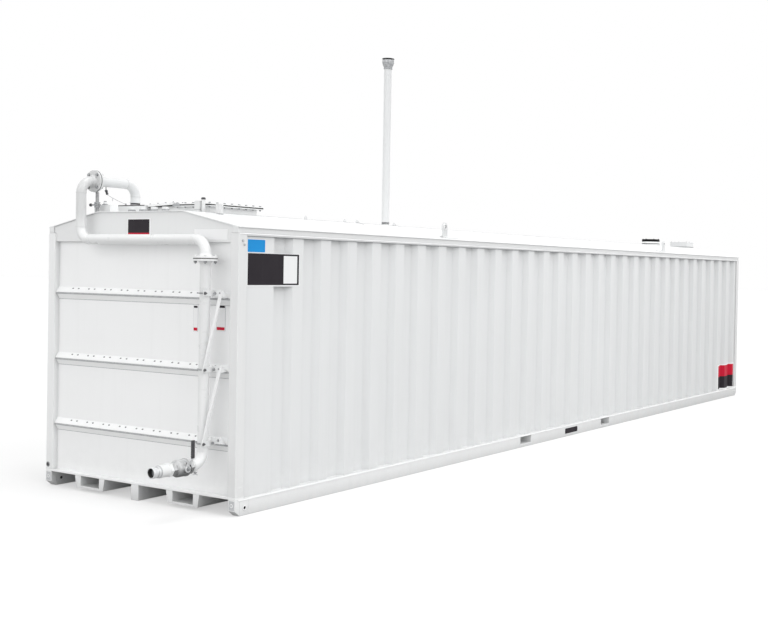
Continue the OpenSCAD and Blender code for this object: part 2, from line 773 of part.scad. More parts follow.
/* Outlet */
hub_x = riser_x + valve_r + boss_l + 0.5;
stem_end = hub_x + lever_t + 0.5;
nut_h = 10;
nut_r = 15;
ball_half = 40;
module hex_y(y0, y1) {
    translate([riser_x, y0, outlet_z]) rotate([-90, 0, 0])
        cylinder(r = valve_af / 2 / cos(30), h = y1 - y0, $fn = 6);
}
module valve_body() {
    color("gray") {
        difference() {
            union() {
                hex_y(valve_end, valve_mid - valve_body_l / 2);
                hex_y(valve_mid + valve_body_l / 2, outlet_start);
                rod_y(riser_x, valve_mid - valve_body_l / 2, valve_mid + valve_body_l / 2, outlet_z, valve_r);
                rod_x(riser_x, hub_x - 0.5, valve_mid, outlet_z, boss_r);
            }
            rod_y(riser_x, valve_end - 1, valve_mid - ball_half, outlet_z, pipe_in_r);
            rod_y(riser_x, valve_mid + ball_half, outlet_start + 1, outlet_z, pipe_in_r);
        }
        rod_x(riser_x, stem_end + nut_h, valve_mid, outlet_z, stem_r);
        translate([stem_end, valve_mid, outlet_z]) rotate([0, 90, 0]) cylinder(r = nut_r, h = nut_h, $fn = 6);
    }
}
module valve_lever() {
    x1 = hub_x + lever_t;
    bow = lever_t * 0.4;
    color("dimgray") translate([0, valve_mid, outlet_z]) difference() {
        union() {
            rod_x(hub_x, x1, 0, 0, hub_r);
            along_y(-lever_w / 2, lever_w / 2)
                polygon([
                    [hub_x, 0], [hub_x, crank_z], [hub_x + crank_out, crank_z + crank_h],
                    [hub_x + crank_out, lever_l], [x1 + crank_out, lever_l],
                    [x1 + crank_out, crank_z + crank_h - bow], [x1, crank_z - bow], [x1, 0]
                ]);
            block(hub_x + crank_out - grip_t, x1 + crank_out + grip_t, -lever_w / 2 - grip_t,
                  lever_w / 2 + grip_t, lever_l - grip_l, lever_l + grip_t);
        }
        rod_x(hub_x - 1, x1 + 1, 0, 0, stem_r + stem_gap);
    }
}
module hose_adapter() {
    y_sleeve = valve_end - sleeve_l;
    y_neck = y_sleeve - neck_l;
    y_groove = y_neck - groove_w;
    y_tip = y_groove - ring_l;
    color("lightgray") difference() {
        union() {
            rod_y(riser_x, y_sleeve, valve_end, outlet_z, sleeve_r);
            rod_y(riser_x, y_neck, y_sleeve, outlet_z, adapter_r);
            rod_y(riser_x, y_groove, y_neck, outlet_z, groove_r);
            rod_y(riser_x, y_tip, y_groove, outlet_z, adapter_r);
        }
        rod_y(riser_x, y_tip - 1, valve_end + 1, outlet_z, groove_r - adapter_wall);
    }
}

/* Vent */
vent_at = y_front + vent_y;
vent_top = roof_top + vent_l;
module vent_collar() {
    color(white) rod_z(0, vent_at, roof_top, roof_top + vent_collar_h, vent_collar_r);
}
module vent_seal() {
    color("dimgray")
        rod_z(0, vent_at, roof_top + vent_collar_h, roof_top + vent_collar_h + vent_seal_h, pipe_r - 1);
}
module vent_pipe() {
    z0 = roof_top + vent_collar_h + vent_seal_h;
    color(white) difference() {
        rod_z(0, vent_at, z0, vent_top, pipe_r);
        rod_z(0, vent_at, z0 - 1, vent_top + 1, pipe_in_r);
    }
}
module vent_cap() {
    wall = 4;
    bore = pipe_r + seat_gap;
    cone_top = cap_over + cap_cone_h;
    rim_top = cone_top + cap_rim_h;
    color("gray") translate([0, vent_at, vent_top - cap_over]) {
        rotate_extrude()
            polygon([
                [bore, 0], [pipe_r + wall, 0], [pipe_r + wall, cap_over], [cap_r, cone_top], [cap_r, rim_top],
                [cap_r - wall, rim_top], [cap_r - wall, cone_top + wall], [bore, cap_over + wall]
            ]);
        for (a = [0:120:240]) rotate(a)
            block(cap_r - 3 * wall, cap_r, -wall, wall, rim_top - 2 * wall, rim_top + cap_slot_h);
        translate([0, 0, rim_top + cap_slot_h]) cylinder(r = cap_r, h = cap_lid_t);
    }
}

/* Roof fittings */
manway_left = manway_x - manway_w / 2;
manway_right = manway_x + manway_w / 2;
manway_front = y_front + manway_y - manway_l / 2;
manway_rear = manway_front + manway_l;
manway_z = roof_top + manway_h;
cover_right = manway_left - 10;
cover_left = cover_right - cover_w;
// A level or falling plate of the manway's outline, a distance in from its edge.
module manway_slab(in, z0, z1) {
    block(manway_left + in, manway_right - in, manway_front + in, manway_rear - in, z0, z1);
}
module cover_slab(in, z0, z1) {
    drop = cover_fall / cover_w;
    x0 = cover_left + in;
    x1 = cover_right - in;
    along_y(manway_front + in, manway_front + cover_l - in)
        polygon([
            [x0, z0 - (cover_right - x0) * drop], [x1, z0 - in * drop],
            [x1, z1 - in * drop], [x0, z1 - (cover_right - x0) * drop]
        ]);
}
module manway_collar() {
    color(white) {
        difference() {
            union() {
                manway_slab(manway_over, roof_top, manway_z);
                manway_slab(0, manway_z - lid_t, manway_z);
            }
            manway_slab(manway_over + manway_wall, roof_top - 1, manway_z + 1);
        }
        difference() {
            block(cover_left + manway_over, cover_right - manway_over / 2, manway_front + manway_over,
                  manway_front + cover_l - manway_over, roof_top, manway_z);
            cover_slab(-1, manway_z, manway_z + manway_h);
        }
    }
}
module manway_gasket() {
    color("dimgray") {
        difference() {
            manway_slab(2, manway_z, manway_z + lid_gasket_t);
            manway_slab(manway_over, manway_z - 1, manway_z + lid_gasket_t + 1);
        }
        cover_slab(2, manway_z + roof_gap, manway_z + lid_gasket_t);
    }
}
module manway_lid() {
    z = manway_z + lid_gasket_t;
    color(white) {
        manway_slab(0, z, z + lid_t);
        cover_slab(0, z + roof_gap, z + cover_t);
    }
}
// A box on the roof, by its lower corner and size; its foot follows the roof.
module roof_box(x, y, w, l, h) { block(x, x + w, y, y + l, roof_top - roof_rise / 2, roof_top + h); }
module roof_boxes() {
    meter_x = manway_right - meter_w;
    meter_y = manway_front - meter_gap - meter_l / 2;
    socket_y = y_front + cap_row_y + meter_gap / 2;
    color(white) difference() {
        union() {
            roof_box(meter_x, meter_y, meter_w, meter_l, meter_h);
            rod_z(meter_x + meter_w + pillar_r, meter_y + meter_l / 2, roof_top - roof_rise / 2,
                  roof_top + meter_h + pillar_rise, pillar_r);
            roof_box(manway_right + sender_gap, manway_front - sender_w / 2, sender_w, sender_w, sender_h);
            roof_box(upright_x + plinth_shift - plinth_w / 2, inlet_at - plinth_l / 2,
                     plinth_w, plinth_l, plinth_h);
            roof_box(upright_x - plinth_w / 4, y_front + cap_row_y, plinth_w / 2, meter_gap, manway_h);
            rod_z(upright_x - plug_r, socket_y, roof_top, roof_top + manway_h + plug_h, plug_r);
        }
        under_roof();
    }
}
module roof_plugs() {
    color(white) {
        for (y = plug_ys) rod_z(roof_half_flat - plug_in, y_front + y, roof_top, roof_top + plug_h, plug_r);
        for (i = [0:3])
            rod_z(manway_left + cap_row_shift + (i - 2) * cap_row_pitch, y_front + cap_row_y,
                  roof_top, roof_top + cap_row_h, cap_row_r);
    }
}
module lifting_lug() {
    pad_top = roof_z(lug_x - lug_pad_w / 2) + lug_pad_t;
    difference() {
        union() {
            along_y(lug_shift - lug_pad_l / 2, lug_shift + lug_pad_l / 2)
                polygon([
                    for (p = [[-1, 0], [1, 0], [1, 1], [-1, 1]])
                        let (x = lug_x + p[0] * lug_pad_w / 2) [x, roof_z(x) + roof_gap + p[1] * lug_pad_t]
                ]);
            block(lug_x - lug_t / 2, lug_x + lug_t / 2, -lug_w / 2, lug_w / 2,
                  roof_z(lug_x) + lug_pad_t / 2, pad_top + lug_h - lug_w / 2);
            rod_x(lug_x - lug_t / 2, lug_x + lug_t / 2, 0, pad_top + lug_h - lug_w / 2, lug_w / 2);
        }
        rod_x(lug_x - lug_t, lug_x + lug_t, 0, pad_top + lug_h - lug_w / 2, lug_eye_r);
    }
}
module lifting_lugs() {
    color(white) both_sides() both_ends() translate([0, -lug_pitch / 2, 0]) lifting_lug();
}
hatch_at = y_rear - hatch_y;
module rear_hatch_neck() { color(white) rod_z(0, hatch_at, roof_top, roof_top + hatch_h, hatch_r); }
module rear_hatch_lid() {
    color("dimgray") rod_z(0, hatch_at, roof_top + hatch_h, roof_top + hatch_h + hatch_lid_t, hatch_lid_r);
}
module rear_box() {
    y = y_rear - box_y;
    color(white)
        block(box_x - box_w / 2, box_x + box_w / 2, y - box_l / 2, y + box_l / 2,
              roof_top, roof_top + box_h);
}

/* Blank plates */
module side_plate(l, h, top) {
    y = y_front + post_d + side_plate_gap;
    block(wall_x, wall_x + plate_t, y, y + l, top - h, top);
}
module sign_plates() {
    y_head = y_front + header_set;
    strip_z = header_low + strip_lift;
    name_top = eave_h - name_plate_drop;
    color("darkslategray") {
        block(-head_plate_w / 2, head_plate_w / 2, y_head - plate_t, y_head,
              eave_h - head_plate_h / 2, eave_h + head_plate_h / 2);
        block(strip_x - strip_w / 2, strip_x + strip_w / 2, y_head - plate_t, y_head,
              strip_z, strip_z + strip_h);
        side_plate(name_plate_l, name_plate_h, name_top);
        side_plate(notice_plate_l, notice_plate_h, name_top - name_plate_h - plate_row_gap);
    }
}

base_rails();
rail_ends();
rail_toes();
centre_runner();
cross_beams();
fork_pockets();
end_pockets();
tank_floor();
end_sills();
corner_posts();
end_headers();
top_rails();
side_wall_right();
side_wall_left();
front_wall();
rear_wall();
end_ribs();
roof_sheet();
pipe_brackets();
pipe_ubolts();
pipe_braces();
fill_riser();
fill_header_pipe();
crossover_pipe();
flange_gaskets();
roof_inlet();
pipe_support();
drain_plug();
valve_body();
valve_lever();
hose_adapter();
vent_collar();
vent_seal();
vent_pipe();
vent_cap();
manway_collar();
manway_gasket();
manway_lid();
roof_boxes();
roof_plugs();
lifting_lugs();
rear_hatch_neck();
rear_hatch_lid();
rear_box();
sign_plates();
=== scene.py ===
import json
import math
import bmesh
import bpy
from mathutils import Matrix, Vector


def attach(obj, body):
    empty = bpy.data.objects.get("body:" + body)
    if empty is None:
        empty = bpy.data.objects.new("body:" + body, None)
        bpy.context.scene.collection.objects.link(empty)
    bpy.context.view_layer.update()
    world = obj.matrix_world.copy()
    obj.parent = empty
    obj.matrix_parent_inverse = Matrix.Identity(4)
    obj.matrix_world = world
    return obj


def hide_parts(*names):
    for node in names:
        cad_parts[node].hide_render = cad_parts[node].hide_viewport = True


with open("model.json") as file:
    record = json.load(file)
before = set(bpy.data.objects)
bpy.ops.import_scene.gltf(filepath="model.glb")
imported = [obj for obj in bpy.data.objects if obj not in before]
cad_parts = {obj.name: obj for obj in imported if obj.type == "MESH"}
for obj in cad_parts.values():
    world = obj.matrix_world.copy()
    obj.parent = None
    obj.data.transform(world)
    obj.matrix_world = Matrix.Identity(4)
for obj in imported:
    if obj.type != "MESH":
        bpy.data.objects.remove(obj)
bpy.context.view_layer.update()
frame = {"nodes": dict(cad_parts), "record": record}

# ---- named places, metres
HALF_W = 1.219
Y_FRONT = -6.096
Y_REAR = 6.096
ROOF = 2.575
FLAT = 0.55
SLOPE = 0.14 / (HALF_W - FLAT)
RAIL_H = 0.14
POST_IN = 1.124
POST_D = 0.1
PANEL_Y = Y_FRONT + 0.05
SILL_TOP = 0.162
HEADER_LOW = 2.302
RIB_ZS = (0.604, 1.22, 1.836)
RIB_OUT = 0.034
BRACKET_ZS = (0.636, 1.235, 1.87)
UBOLT_ZS = (0.612, 1.232, 1.871)
CAP_XS = (-0.238, -0.093, 0.052, 0.197)
PLUG_YS = (-4.462, -3.861, -3.656, -3.016)
RISER = Vector((0.939, -6.196, 0))
OUTLET_Z = 0.435
VALVE_Y = -6.44
JOINT_Z = 2.16
PIPE_R = 0.04445
UPRIGHT_X = -0.639
OVER_Z = 2.857
OVER_Y = -6.051
SUPPORT_Y = -6.021
INLET_Y = -5.586
VENT = Vector((0, -2.519, 0))
HATCH = Vector((0, 5.014, 0))
# Each cover is x0, x1, y0, y1.
MANWAY = (0.04, 0.49, -5.726, -5.046)
COVER = (-0.305, 0.03, -5.726, -5.366)
WALL_X = 1.201
# The corrugations: start of the first, pitch, run of a slope, width at the back, depth and count.
CORR = (0.443, 0.3775, 0.05, 0.14, 0.055, 31)
X, Y, Z = Vector((1, 0, 0)), Vector((0, 1, 0)), Vector((0, 0, 1))


def roof_z(x):
    return ROOF - max(0.0, abs(x) - FLAT) * SLOPE


# ---- objects and camera
def put(name, data):
    """A new object in the scene."""
    obj = bpy.data.objects.new(name, data)
    bpy.context.collection.objects.link(obj)
    return obj


def place_camera():
    data = bpy.data.cameras.new("camera")
    data.sensor_width = 36.0
    data.lens = 52.81
    data.shift_x = -0.1828
    data.shift_y = -0.0395
    data.clip_end = 400
    cam = put("camera", data)
    yaw, pitch, roll = (math.radians(a) for a in (30.356, 90 - 0.8905, 1.1103))
    cam.matrix_world = (Matrix.Translation((8.0191, -12.9895, 2.0984)) @ Matrix.Rotation(yaw, 4, "Z")
                        @ Matrix.Rotation(pitch, 4, "X") @ Matrix.Rotation(roll, 4, "Z"))
    bpy.context.scene.camera = cam


place_camera()


# ---- materials
def add(tree, kind, out, *sockets, **settings):
    """A new shader node with its sockets set or linked; gives one of its outputs."""
    node = tree.nodes.new("ShaderNode" + kind)
    for name, value in settings.items():
        setattr(node, name, value)
    for socket, value in sockets:
        if isinstance(value, bpy.types.NodeSocket):
            tree.links.new(value, node.inputs[socket])
        else:
            node.inputs[socket].default_value = value
    return node.outputs[out]


class Shader:
    """A node material built up call by call; coordinates are the object's own, in metres."""

    def __init__(self, name):
        self.mat = bpy.data.materials.new(name)
        self.mat.use_nodes = True
        self.tree = self.mat.node_tree
        self.coord = add(self.tree, "TexCoord", "Object")

    def stretch(self, scale):
        return add(self.tree, "Mapping", "Vector", ("Scale", scale), ("Vector", self.coord))

    def noise(self, scale, detail=3.0, rough=0.55, vector=None):
        return add(self.tree, "TexNoise", "Fac", ("Vector", vector or self.coord), ("Scale", scale), ("Detail", detail),
                        ("Roughness", rough))

    def spread(self, value, lo, hi, out_lo=0.0, out_hi=1.0):
        return add(self.tree, "MapRange", "Result", ("Value", value), ("From Min", lo), ("From Max", hi),
                        ("To Min", out_lo), ("To Max", out_hi))

    def times(self, a, b):
        return add(self.tree, "Math", 0, (0, a), (1, b), operation="MULTIPLY")

    def mix(self, fac, a, b, blend="MIX"):
        a, b = (v if isinstance(v, bpy.types.NodeSocket) else (*v, 1) for v in (a, b))
        return add(self.tree, "Mix", 2, (0, fac), (6, a), (7, b), data_type="RGBA", blend_type=blend)

    def axis(self, which):
        return add(self.tree, "SeparateXYZ", which, (0, self.coord))

    def upward(self):
        return add(self.tree, "SeparateXYZ", "Z", (0, add(self.tree, "NewGeometry", "Normal")))

    def nook(self, distance):
        """1 in corners and gaps, 0 in the open."""
        open_share = add(self.tree, "AmbientOcclusion", "AO", ("Distance", distance), samples=8)
        return self.spread(open_share, 0.4, 0.95, 1.0, 0.0)

    def bump(self, height, distance, strength=1.0, under=None):
        base = [("Normal", under)] if under else []
        return add(self.tree, "Bump", "Normal", ("Height", height), ("Distance", distance),
                   ("Strength", strength), *base)

    def finish(self, **sockets):
        """Sets or links the sockets of the material's surface."""
        surface = self.tree.nodes["Principled BSDF"]
        for name, value in sockets.items():
            socket = surface.inputs[name.replace("_", " ")]
            if isinstance(value, bpy.types.NodeSocket):
                self.tree.links.new(value, socket)
            else:
                socket.default_value = value
        return self.mat


def shade(color, factor):
    return tuple(c * factor for c in color)


def enamel(name, paint, dust=(0.5, 0.5, 0.495), wear=0.5, rough=(0.3, 0.46), coat=0.12, shine=0.5,
           depth=0.05, corner_dust_and_shade=0.5, shade_fades=()):
    """Sprayed gloss paint: orange peel, slight waviness, rain streaks, dust and painted shade in corners, and splashed
    dirt low down.
    Each fade (axis, from, to, factor) is painted shade: it darkens the colour between two places along an axis."""
    s = Shader(name)
    color = s.mix(s.spread(s.noise(0.9, 4, 0.6), 0.35, 0.7, 0.0, 0.5), paint, shade(paint, 0.965))
    streaks = s.noise(1.0, 4, 0.6, s.stretch((16, 16, 0.7)))
    color = s.mix(s.spread(streaks, 0.53, 0.75, 0.0, 0.12 * wear), color, dust)
    low = s.spread(s.axis("Z"), 0.02, 0.55, 1.0, 0.0)
    splash = s.times(low, s.spread(s.noise(9, 6, 0.7), 0.42, 0.72, 0.0, 0.34 * wear))
    color = s.mix(splash, color, dust)
    settled = s.spread(s.noise(5, 5, 0.65), 0.4, 0.75, 0.0, 0.16 * wear)
    color = s.mix(s.times(s.spread(s.upward(), 0.4, 1.0, 0, 1), settled), color, dust)
    # Darker in corners and gaps by an occlusion mask: part dust, part painted shade.
    color = s.mix(s.times(s.nook(depth), corner_dust_and_shade * wear), color, shade(dust, 0.4))
    # Painted shade along an axis, one fade at a time.
    for which, lo, hi, factor in shade_fades:
        color = s.mix(s.spread(s.axis(which), lo, hi), color, (factor,) * 3, "MULTIPLY")
    roughness = s.spread(s.noise(7, 5, 0.6), 0.3, 0.7, *rough)
    peel = s.bump(s.noise(420, 2), 0.0003, 0.35)
    waves = s.bump(s.noise(2.2, 2, 0.4), 0.006, 0.35, peel)
    return s.finish(Base_Color=color, Roughness=roughness, Normal=waves, Coat_Weight=coat, Coat_Roughness=0.2,
                    Specular_IOR_Level=shine)


def metal(name, light, dark, metallic, rough, grain=260, cast=0.0004, underside_shade=0.0):
    """Plated or cast metal: mottled tone, fine grain, dirt and painted shade in its corners and, if wanted, painted
    shade on its undersides.
    """
    s = Shader(name)
    tone = s.mix(s.spread(s.noise(38, 5, 0.65), 0.34, 0.68), light, dark)
    # Darker in corners by an occlusion mask: part dirt, part painted shade.
    tone = s.mix(s.times(s.nook(0.02), 0.6), tone, shade(dark, 0.3))
    # Painted shade: darker on faces that look down.
    if underside_shade:
        tone = s.mix(s.spread(s.upward(), 0.25, -0.7, 0.0, underside_shade), tone, shade(dark, 0.2))
    roughness = s.spread(s.noise(90, 4, 0.6), 0.3, 0.7, *rough)
    return s.finish(Base_Color=tone, Roughness=roughness, Normal=s.bump(s.noise(grain, 4, 0.7), cast, 0.6),
                    Metallic=metallic)


def rubber(name, light, dark, rough, grain=500, depth=0.0002, shine=0.5, dust=0.25):
    """Rubber, vinyl or sealant: mottled tone, with dust on what faces up."""
    s = Shader(name)
    tone = s.mix(s.spread(s.noise(24, 5, 0.7), 0.35, 0.7), dark, light)
    tone = s.mix(s.times(s.spread(s.upward(), 0.2, 1.0, 0, 1), dust), tone, (0.22, 0.21, 0.2))
    roughness = s.spread(s.noise(60, 4), 0.3, 0.7, *rough)
    return s.finish(Base_Color=tone, Roughness=roughness, Normal=s.bump(s.noise(grain, 3), depth, 0.5),
                    Specular_IOR_Level=shine)


WHITE = (0.86, 0.868, 0.87)
SATIN, DULL = (0.4, 0.6), (0.5, 0.7)
PLATE = dict(wear=0.1, rough=(0.4, 0.55), coat=0, shine=0.2)
M = {
    "white": enamel("white_enamel", WHITE),
    # Copies of the one white paint, lit and shaded by colour: side and frame darker as painted shade, front lighter as
    # painted light, posts darker towards +X.
    "side": enamel("side_enamel_shaded", (0.79, 0.8, 0.805), shade_fades=((1, 0.5, 5.5, 0.91),)),
    # The side, frame and post fades darken the paint towards the rear as painted shade.
    "frame": enamel("frame_enamel_shaded", (0.8, 0.808, 0.81), shade_fades=((1, 0.5, 5.5, 0.9),)),
    "post": enamel("post_enamel_lit_and_shaded", (0.865, 0.872, 0.874), shade_fades=((0, -1.0, 1.0, 0.925), (1, 0.5, 5.5, 0.9))),
    "front": enamel("end_enamel_lit", (0.93, 0.936, 0.938), wear=0.35, corner_dust_and_shade=0.3),
    # A darker copy of the white paint, darker still above 2.25 m: painted shade.
    "pipe": enamel("pipe_enamel_shaded", (0.83, 0.838, 0.84), wear=0.35, rough=(0.24, 0.38),
                   shade_fades=((2, 2.25, 2.38, 0.93), (2, 2.42, 2.56, 0.83))),
    # A greyer copy of the white paint for thin pipes and roof fittings: painted shade.
    "vent": enamel("vent_enamel_shaded", (0.72, 0.73, 0.735), wear=0.35, rough=(0.3, 0.42)),
    # A darker copy of the white paint, darker still towards +X: painted shade on the roof boxes.
    "box": enamel("box_enamel_shaded", (0.84, 0.848, 0.85), wear=0.35, shade_fades=((0, -0.45, -0.15, 0.86),)),
    # The white paint with strong painted shade in corners and gaps, part dust, and darker towards the rear as painted
    # shade.
    "skid": enamel("skid_enamel_shaded", WHITE, wear=0.3, depth=0.14, corner_dust_and_shade=1.0, shade_fades=((1, -2.0, 4.5, 0.84),)),
    # A dark copy of the white paint on the undersides: painted shade, with dust.
    "under": enamel("underside_enamel", (0.36, 0.365, 0.375), wear=1.3, rough=DULL),
    "zinc": metal("zinc_plate", (0.46, 0.47, 0.48), (0.3, 0.31, 0.32), 0.65, (0.32, 0.5)),
    "iron": metal("weathered_zinc", (0.17, 0.172, 0.178), (0.09, 0.092, 0.096), 0.3, SATIN),
    "grey": metal("galvanised_grey", (0.42, 0.43, 0.44), (0.27, 0.28, 0.29), 0.45, (0.42, 0.6)),
    "cast": metal("cast_grey", (0.42, 0.425, 0.43), (0.27, 0.275, 0.28), 0.3, SATIN, 180, 0.0012),
    "valve": metal("valve_casting_grey", (0.62, 0.625, 0.63), (0.42, 0.425, 0.43), 0.1, SATIN, 180, 0.0012, 0.9),
    "cap": metal("vent_cap_metal", (0.56, 0.57, 0.58), (0.34, 0.35, 0.36), 0.25, SATIN),
    "alu": metal("satin_aluminium", (0.86, 0.87, 0.88), (0.68, 0.69, 0.7), 0.35, (0.3, 0.45)),
    "spot": metal("weld_grey", (0.3, 0.305, 0.31), (0.2, 0.205, 0.21), 0.15, DULL),
    "lever": metal("lever_steel", (0.09, 0.09, 0.095), (0.045, 0.045, 0.05), 0.2, (0.42, 0.6)),
    "vinyl": rubber("black_vinyl", (0.075, 0.075, 0.08), (0.03, 0.03, 0.033), (0.38, 0.55)),
    "rubber": rubber("seal_rubber", (0.05, 0.05, 0.05), (0.02, 0.02, 0.02), (0.6, 0.8)),
    "hatch": rubber("hatch_black", (0.014, 0.014, 0.015), (0.006, 0.006, 0.0065), DULL, 300, shine=0.12, dust=0.1),
    "seal": rubber("grey_sealant", (0.5, 0.51, 0.52), (0.36, 0.37, 0.38), DULL),
    "dark": enamel("plate_dark", (0.02, 0.016, 0.021), dust=(0.2, 0.2, 0.2), wear=0.15, rough=(0.45, 0.6), coat=0,
                   shine=0.18, corner_dust_and_shade=0),
    "pale": enamel("plate_pale", (0.88, 0.885, 0.89), wear=0.04, rough=(0.35, 0.5), coat=0),
    "blue": enamel("plate_blue", (0.012, 0.29, 0.7), **PLATE),
    "red": enamel("plate_red", (0.58, 0.006, 0.035), **PLATE),
    "mid": enamel("plate_grey", (0.56, 0.57, 0.585), wear=0.3, rough=(0.35, 0.5)),
}


def by_word(groups):
    """Turns {value: "name name"} round into {name: value}."""
    return {name: value for value, names in groups.items() for name in names.split()}


# The slot that each look belongs to.
# The look of a node by its slot, and of the nodes that have a look of their own.
NODE_LOOK = {"white_paint": "white", "pipe_paint": "pipe", "underside_paint": "under", "zinc_steel": "zinc",
             "grey_steel": "grey", "valve_steel": "valve", "adapter_steel": "alu", "lever_black": "lever",
             "black_rubber": "rubber", "sign_dark": "dark"}
NODE_OWN_LOOK = by_word({
    "side": "side_wall_right side_wall_left", "frame": "top_rails end_headers", "post": "corner_posts",
    "front": "front_wall rear_wall end_ribs end_sills", "spot": "vent_seal", "cap": "vent_cap", "box": "roof_boxes",
    "vent": "crossover_pipe vent_pipe rear_box lifting_lugs roof_plugs", "hatch": "rear_hatch_lid",
    "pale": "sign_plates", "skid": "base_rails rail_ends rail_toes centre_runner end_pockets",
    "white": "fork_pockets", "cast": "pipe_support"})
# Bevel widths in metres of the CAD nodes whose edges show.
SOFTEN = by_word({
    0.001: "vent_cap pipe_support", 0.0015: "pipe_braces fill_riser fill_header_pipe crossover_pipe",
    0.002: "pipe_brackets manway_collar fork_pockets", 0.0025: "manway_lid",
    0.003: "top_rails rail_ends end_sills end_ribs roof_plugs lifting_lugs vent_collar rear_hatch_neck roof_inlet",
    0.004: "end_headers rail_toes end_pockets roof_boxes", 0.005: "base_rails centre_runner",
    0.006: "corner_posts rear_box", 0.009: "side_wall_right side_wall_left"})


def dress_nodes():
    for entry in frame["record"]["subparts"]:
        node = frame["nodes"][entry["node"]]
        look = M[NODE_OWN_LOOK.get(entry["node"], NODE_LOOK[entry["material_slot"]])]
        if not node.material_slots:
            node.data.materials.append(look)
        for place in node.material_slots:
            place.material = look
        width = SOFTEN.get(entry["node"])
        if width:
            weld = node.modifiers.new("weld", "WELD")
            weld.merge_threshold = 0.00005
            soft = node.modifiers.new("soft_edges", "BEVEL")
            soft.width = width
            soft.segments = 2
            soft.limit_method = "ANGLE"
            soft.angle_limit = math.radians(28)
            soft.harden_normals = True
            soft.use_clamp_overlap = True


dress_nodes()


# ---- mesh helpers
def piece(name, bm, look, body="tank", sharp=35, stands_for=()):
    """Turns bm into a shown piece with its material, riding on a body."""
    bmesh.ops.recalc_face_normals(bm, faces=bm.faces)
    mesh = bpy.data.meshes.new(name)
    bm.to_mesh(mesh)
    bm.free()
    for face in mesh.polygons:
        face.use_smooth = True
    mesh.set_sharp_from_angle(angle=math.radians(sharp))
    mesh.materials.append(M[look])
    obj = put(name, mesh)
    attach(obj, body)
    if stands_for:
        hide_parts(*stands_for)
    return obj


STARTED = []


def begin(name, look, **how):
    """An empty mesh to build a piece in; show_pieces() turns it into the piece."""
    bm = bmesh.new()
    STARTED.append((name, bm, look, how))
    return bm


def show_pieces():
    for name, bm, look, how in STARTED:
        piece(name, bm, look, **how)


def turned(at, axis=Z, spin=0.0):
    """Local Z along axis, at a point."""
    aim = Z.rotation_difference(Vector(axis)).to_matrix().to_4x4()
    return Matrix.Translation(at) @ aim @ Matrix.Rotation(spin, 4, "Z")


def circle(m, r, n, first=0.0, h=0.0):
    """n points round local Z, from the angle first, at height h."""
    angles = [first + math.tau * k / n for k in range(n)]
    return [m @ Vector((r * math.cos(a), r * math.sin(a), h)) for a in angles]


def rings(bm, loops, closed=False):
    """Joins equal loops of points into a skin."""
    rows = [[bm.verts.new(p) for p in loop] for loop in loops]
    n = len(rows[0])
    pairs = list(zip(rows, rows[1:])) + ([(rows[-1], rows[0])] if closed else [])
    for a, b in pairs:
        for i in range(n):
            j = (i + 1) % n
            bm.faces.new((a[i], a[j], b[j], b[i]))
    if not closed:
        bm.faces.new(rows[0][::-1])
        bm.faces.new(rows[-1])


def sheet(bm, rows):
    """Joins open rows of points into a sheet."""
    rows = [[bm.verts.new(p) for p in row] for row in rows]
    for a, b in zip(rows, rows[1:]):
        for i in range(len(a) - 1):
            bm.faces.new((a[i], a[i + 1], b[i + 1], b[i]))


def lathe(bm, m, profile, n=32, closed=False):
    """Revolves (radius, height) points, in millimetres, about local Z; closed joins the last to the first."""
    rings(bm, [circle(m, r / 1000, n, h=h / 1000) for r, h in profile], closed)


def hexagon(bm, m, profile, closed=False):
    """Like lathe with six sides, from (width over flats, height) points."""
    lathe(bm, m, [(af / 2 / math.cos(math.pi / 6), h) for af, h in profile], 6, closed)


def slab(bm, lo, hi, edge=0.0015):
    """A flat bar with eased edges, by its corners."""
    lo, hi = Vector(lo), Vector(hi)
    e = min(edge, (hi.x - lo.x) / 3, (hi.y - lo.y) / 3, (hi.z - lo.z) / 3)
    rings(bm, [[
        (lo.x + k, lo.y + e, z), (lo.x + e, lo.y + k, z), (hi.x - e, lo.y + k, z), (hi.x - k, lo.y + e, z),
        (hi.x - k, hi.y - e, z), (hi.x - e, hi.y - k, z), (lo.x + e, hi.y - k, z), (lo.x + k, hi.y - e, z)]
        for z, k in ((lo.z, e), (lo.z + e, 0), (hi.z - e, 0), (hi.z, e))])


def bolt(bm, at, axis=Z, af=0.024, head=0.01, stud=0.0, spin=0.0, washer=True):
    """A washer and a chamfered hexagon, with a threaded end standing out of it if stud is given."""
    m = turned(at, axis, spin)
    af, head, stud = af * 1000, head * 1000, stud * 1000
    low = 2.2 if washer else 0
    if washer:
        lathe(bm, m, [(af * 0.25, 0), (af * 0.62, 0), (af * 0.64, low * 0.4), (af * 0.61, low), (af * 0.25, low)], 16)
    hexagon(bm, m, [(af * 0.95, low), (af, low + head * 0.12), (af, low + head * 0.8), (af * 0.86, low + head)])
    if stud:
        r = af * 0.3
        steps = max(4, int(stud / 2.2))
        thread = [(r * (0.93 if k % 2 else 1.0), low + head * 0.9 + stud * k / steps) for k in range(steps)]
        lathe(bm, m, thread + [(r * 0.7, low + head + stud)], 10)


def bolts(name, spots, axis=Z, look="zinc", **size):
    bm = begin(name, look)
    for k, at in enumerate(spots):
        bolt(bm, at, axis, spin=0.37 * k, **size)


def sweep(bm, path, radius, n=10, closed=False):
    """A round bar along a path; radius may be a list."""
    count = len(path)
    radii = radius if isinstance(radius, (list, tuple)) else [radius] * count
    loops = []
    before = None
    for k, p in enumerate(path):
        a = path[(k - 1) % count] if (closed or k) else p
        b = path[(k + 1) % count] if (closed or k < count - 1) else p
        t = (Vector(b) - Vector(a)).normalized()
        u = before - t * before.dot(t) if before else t.orthogonal()
        u.normalize()
        before = u
        v = t.cross(u)
        angles = [math.tau * i / n for i in range(n)]
        loops.append([Vector(p) + radii[k] * (u * math.cos(a) + v * math.sin(a)) for a in angles])
    rings(bm, loops, closed)


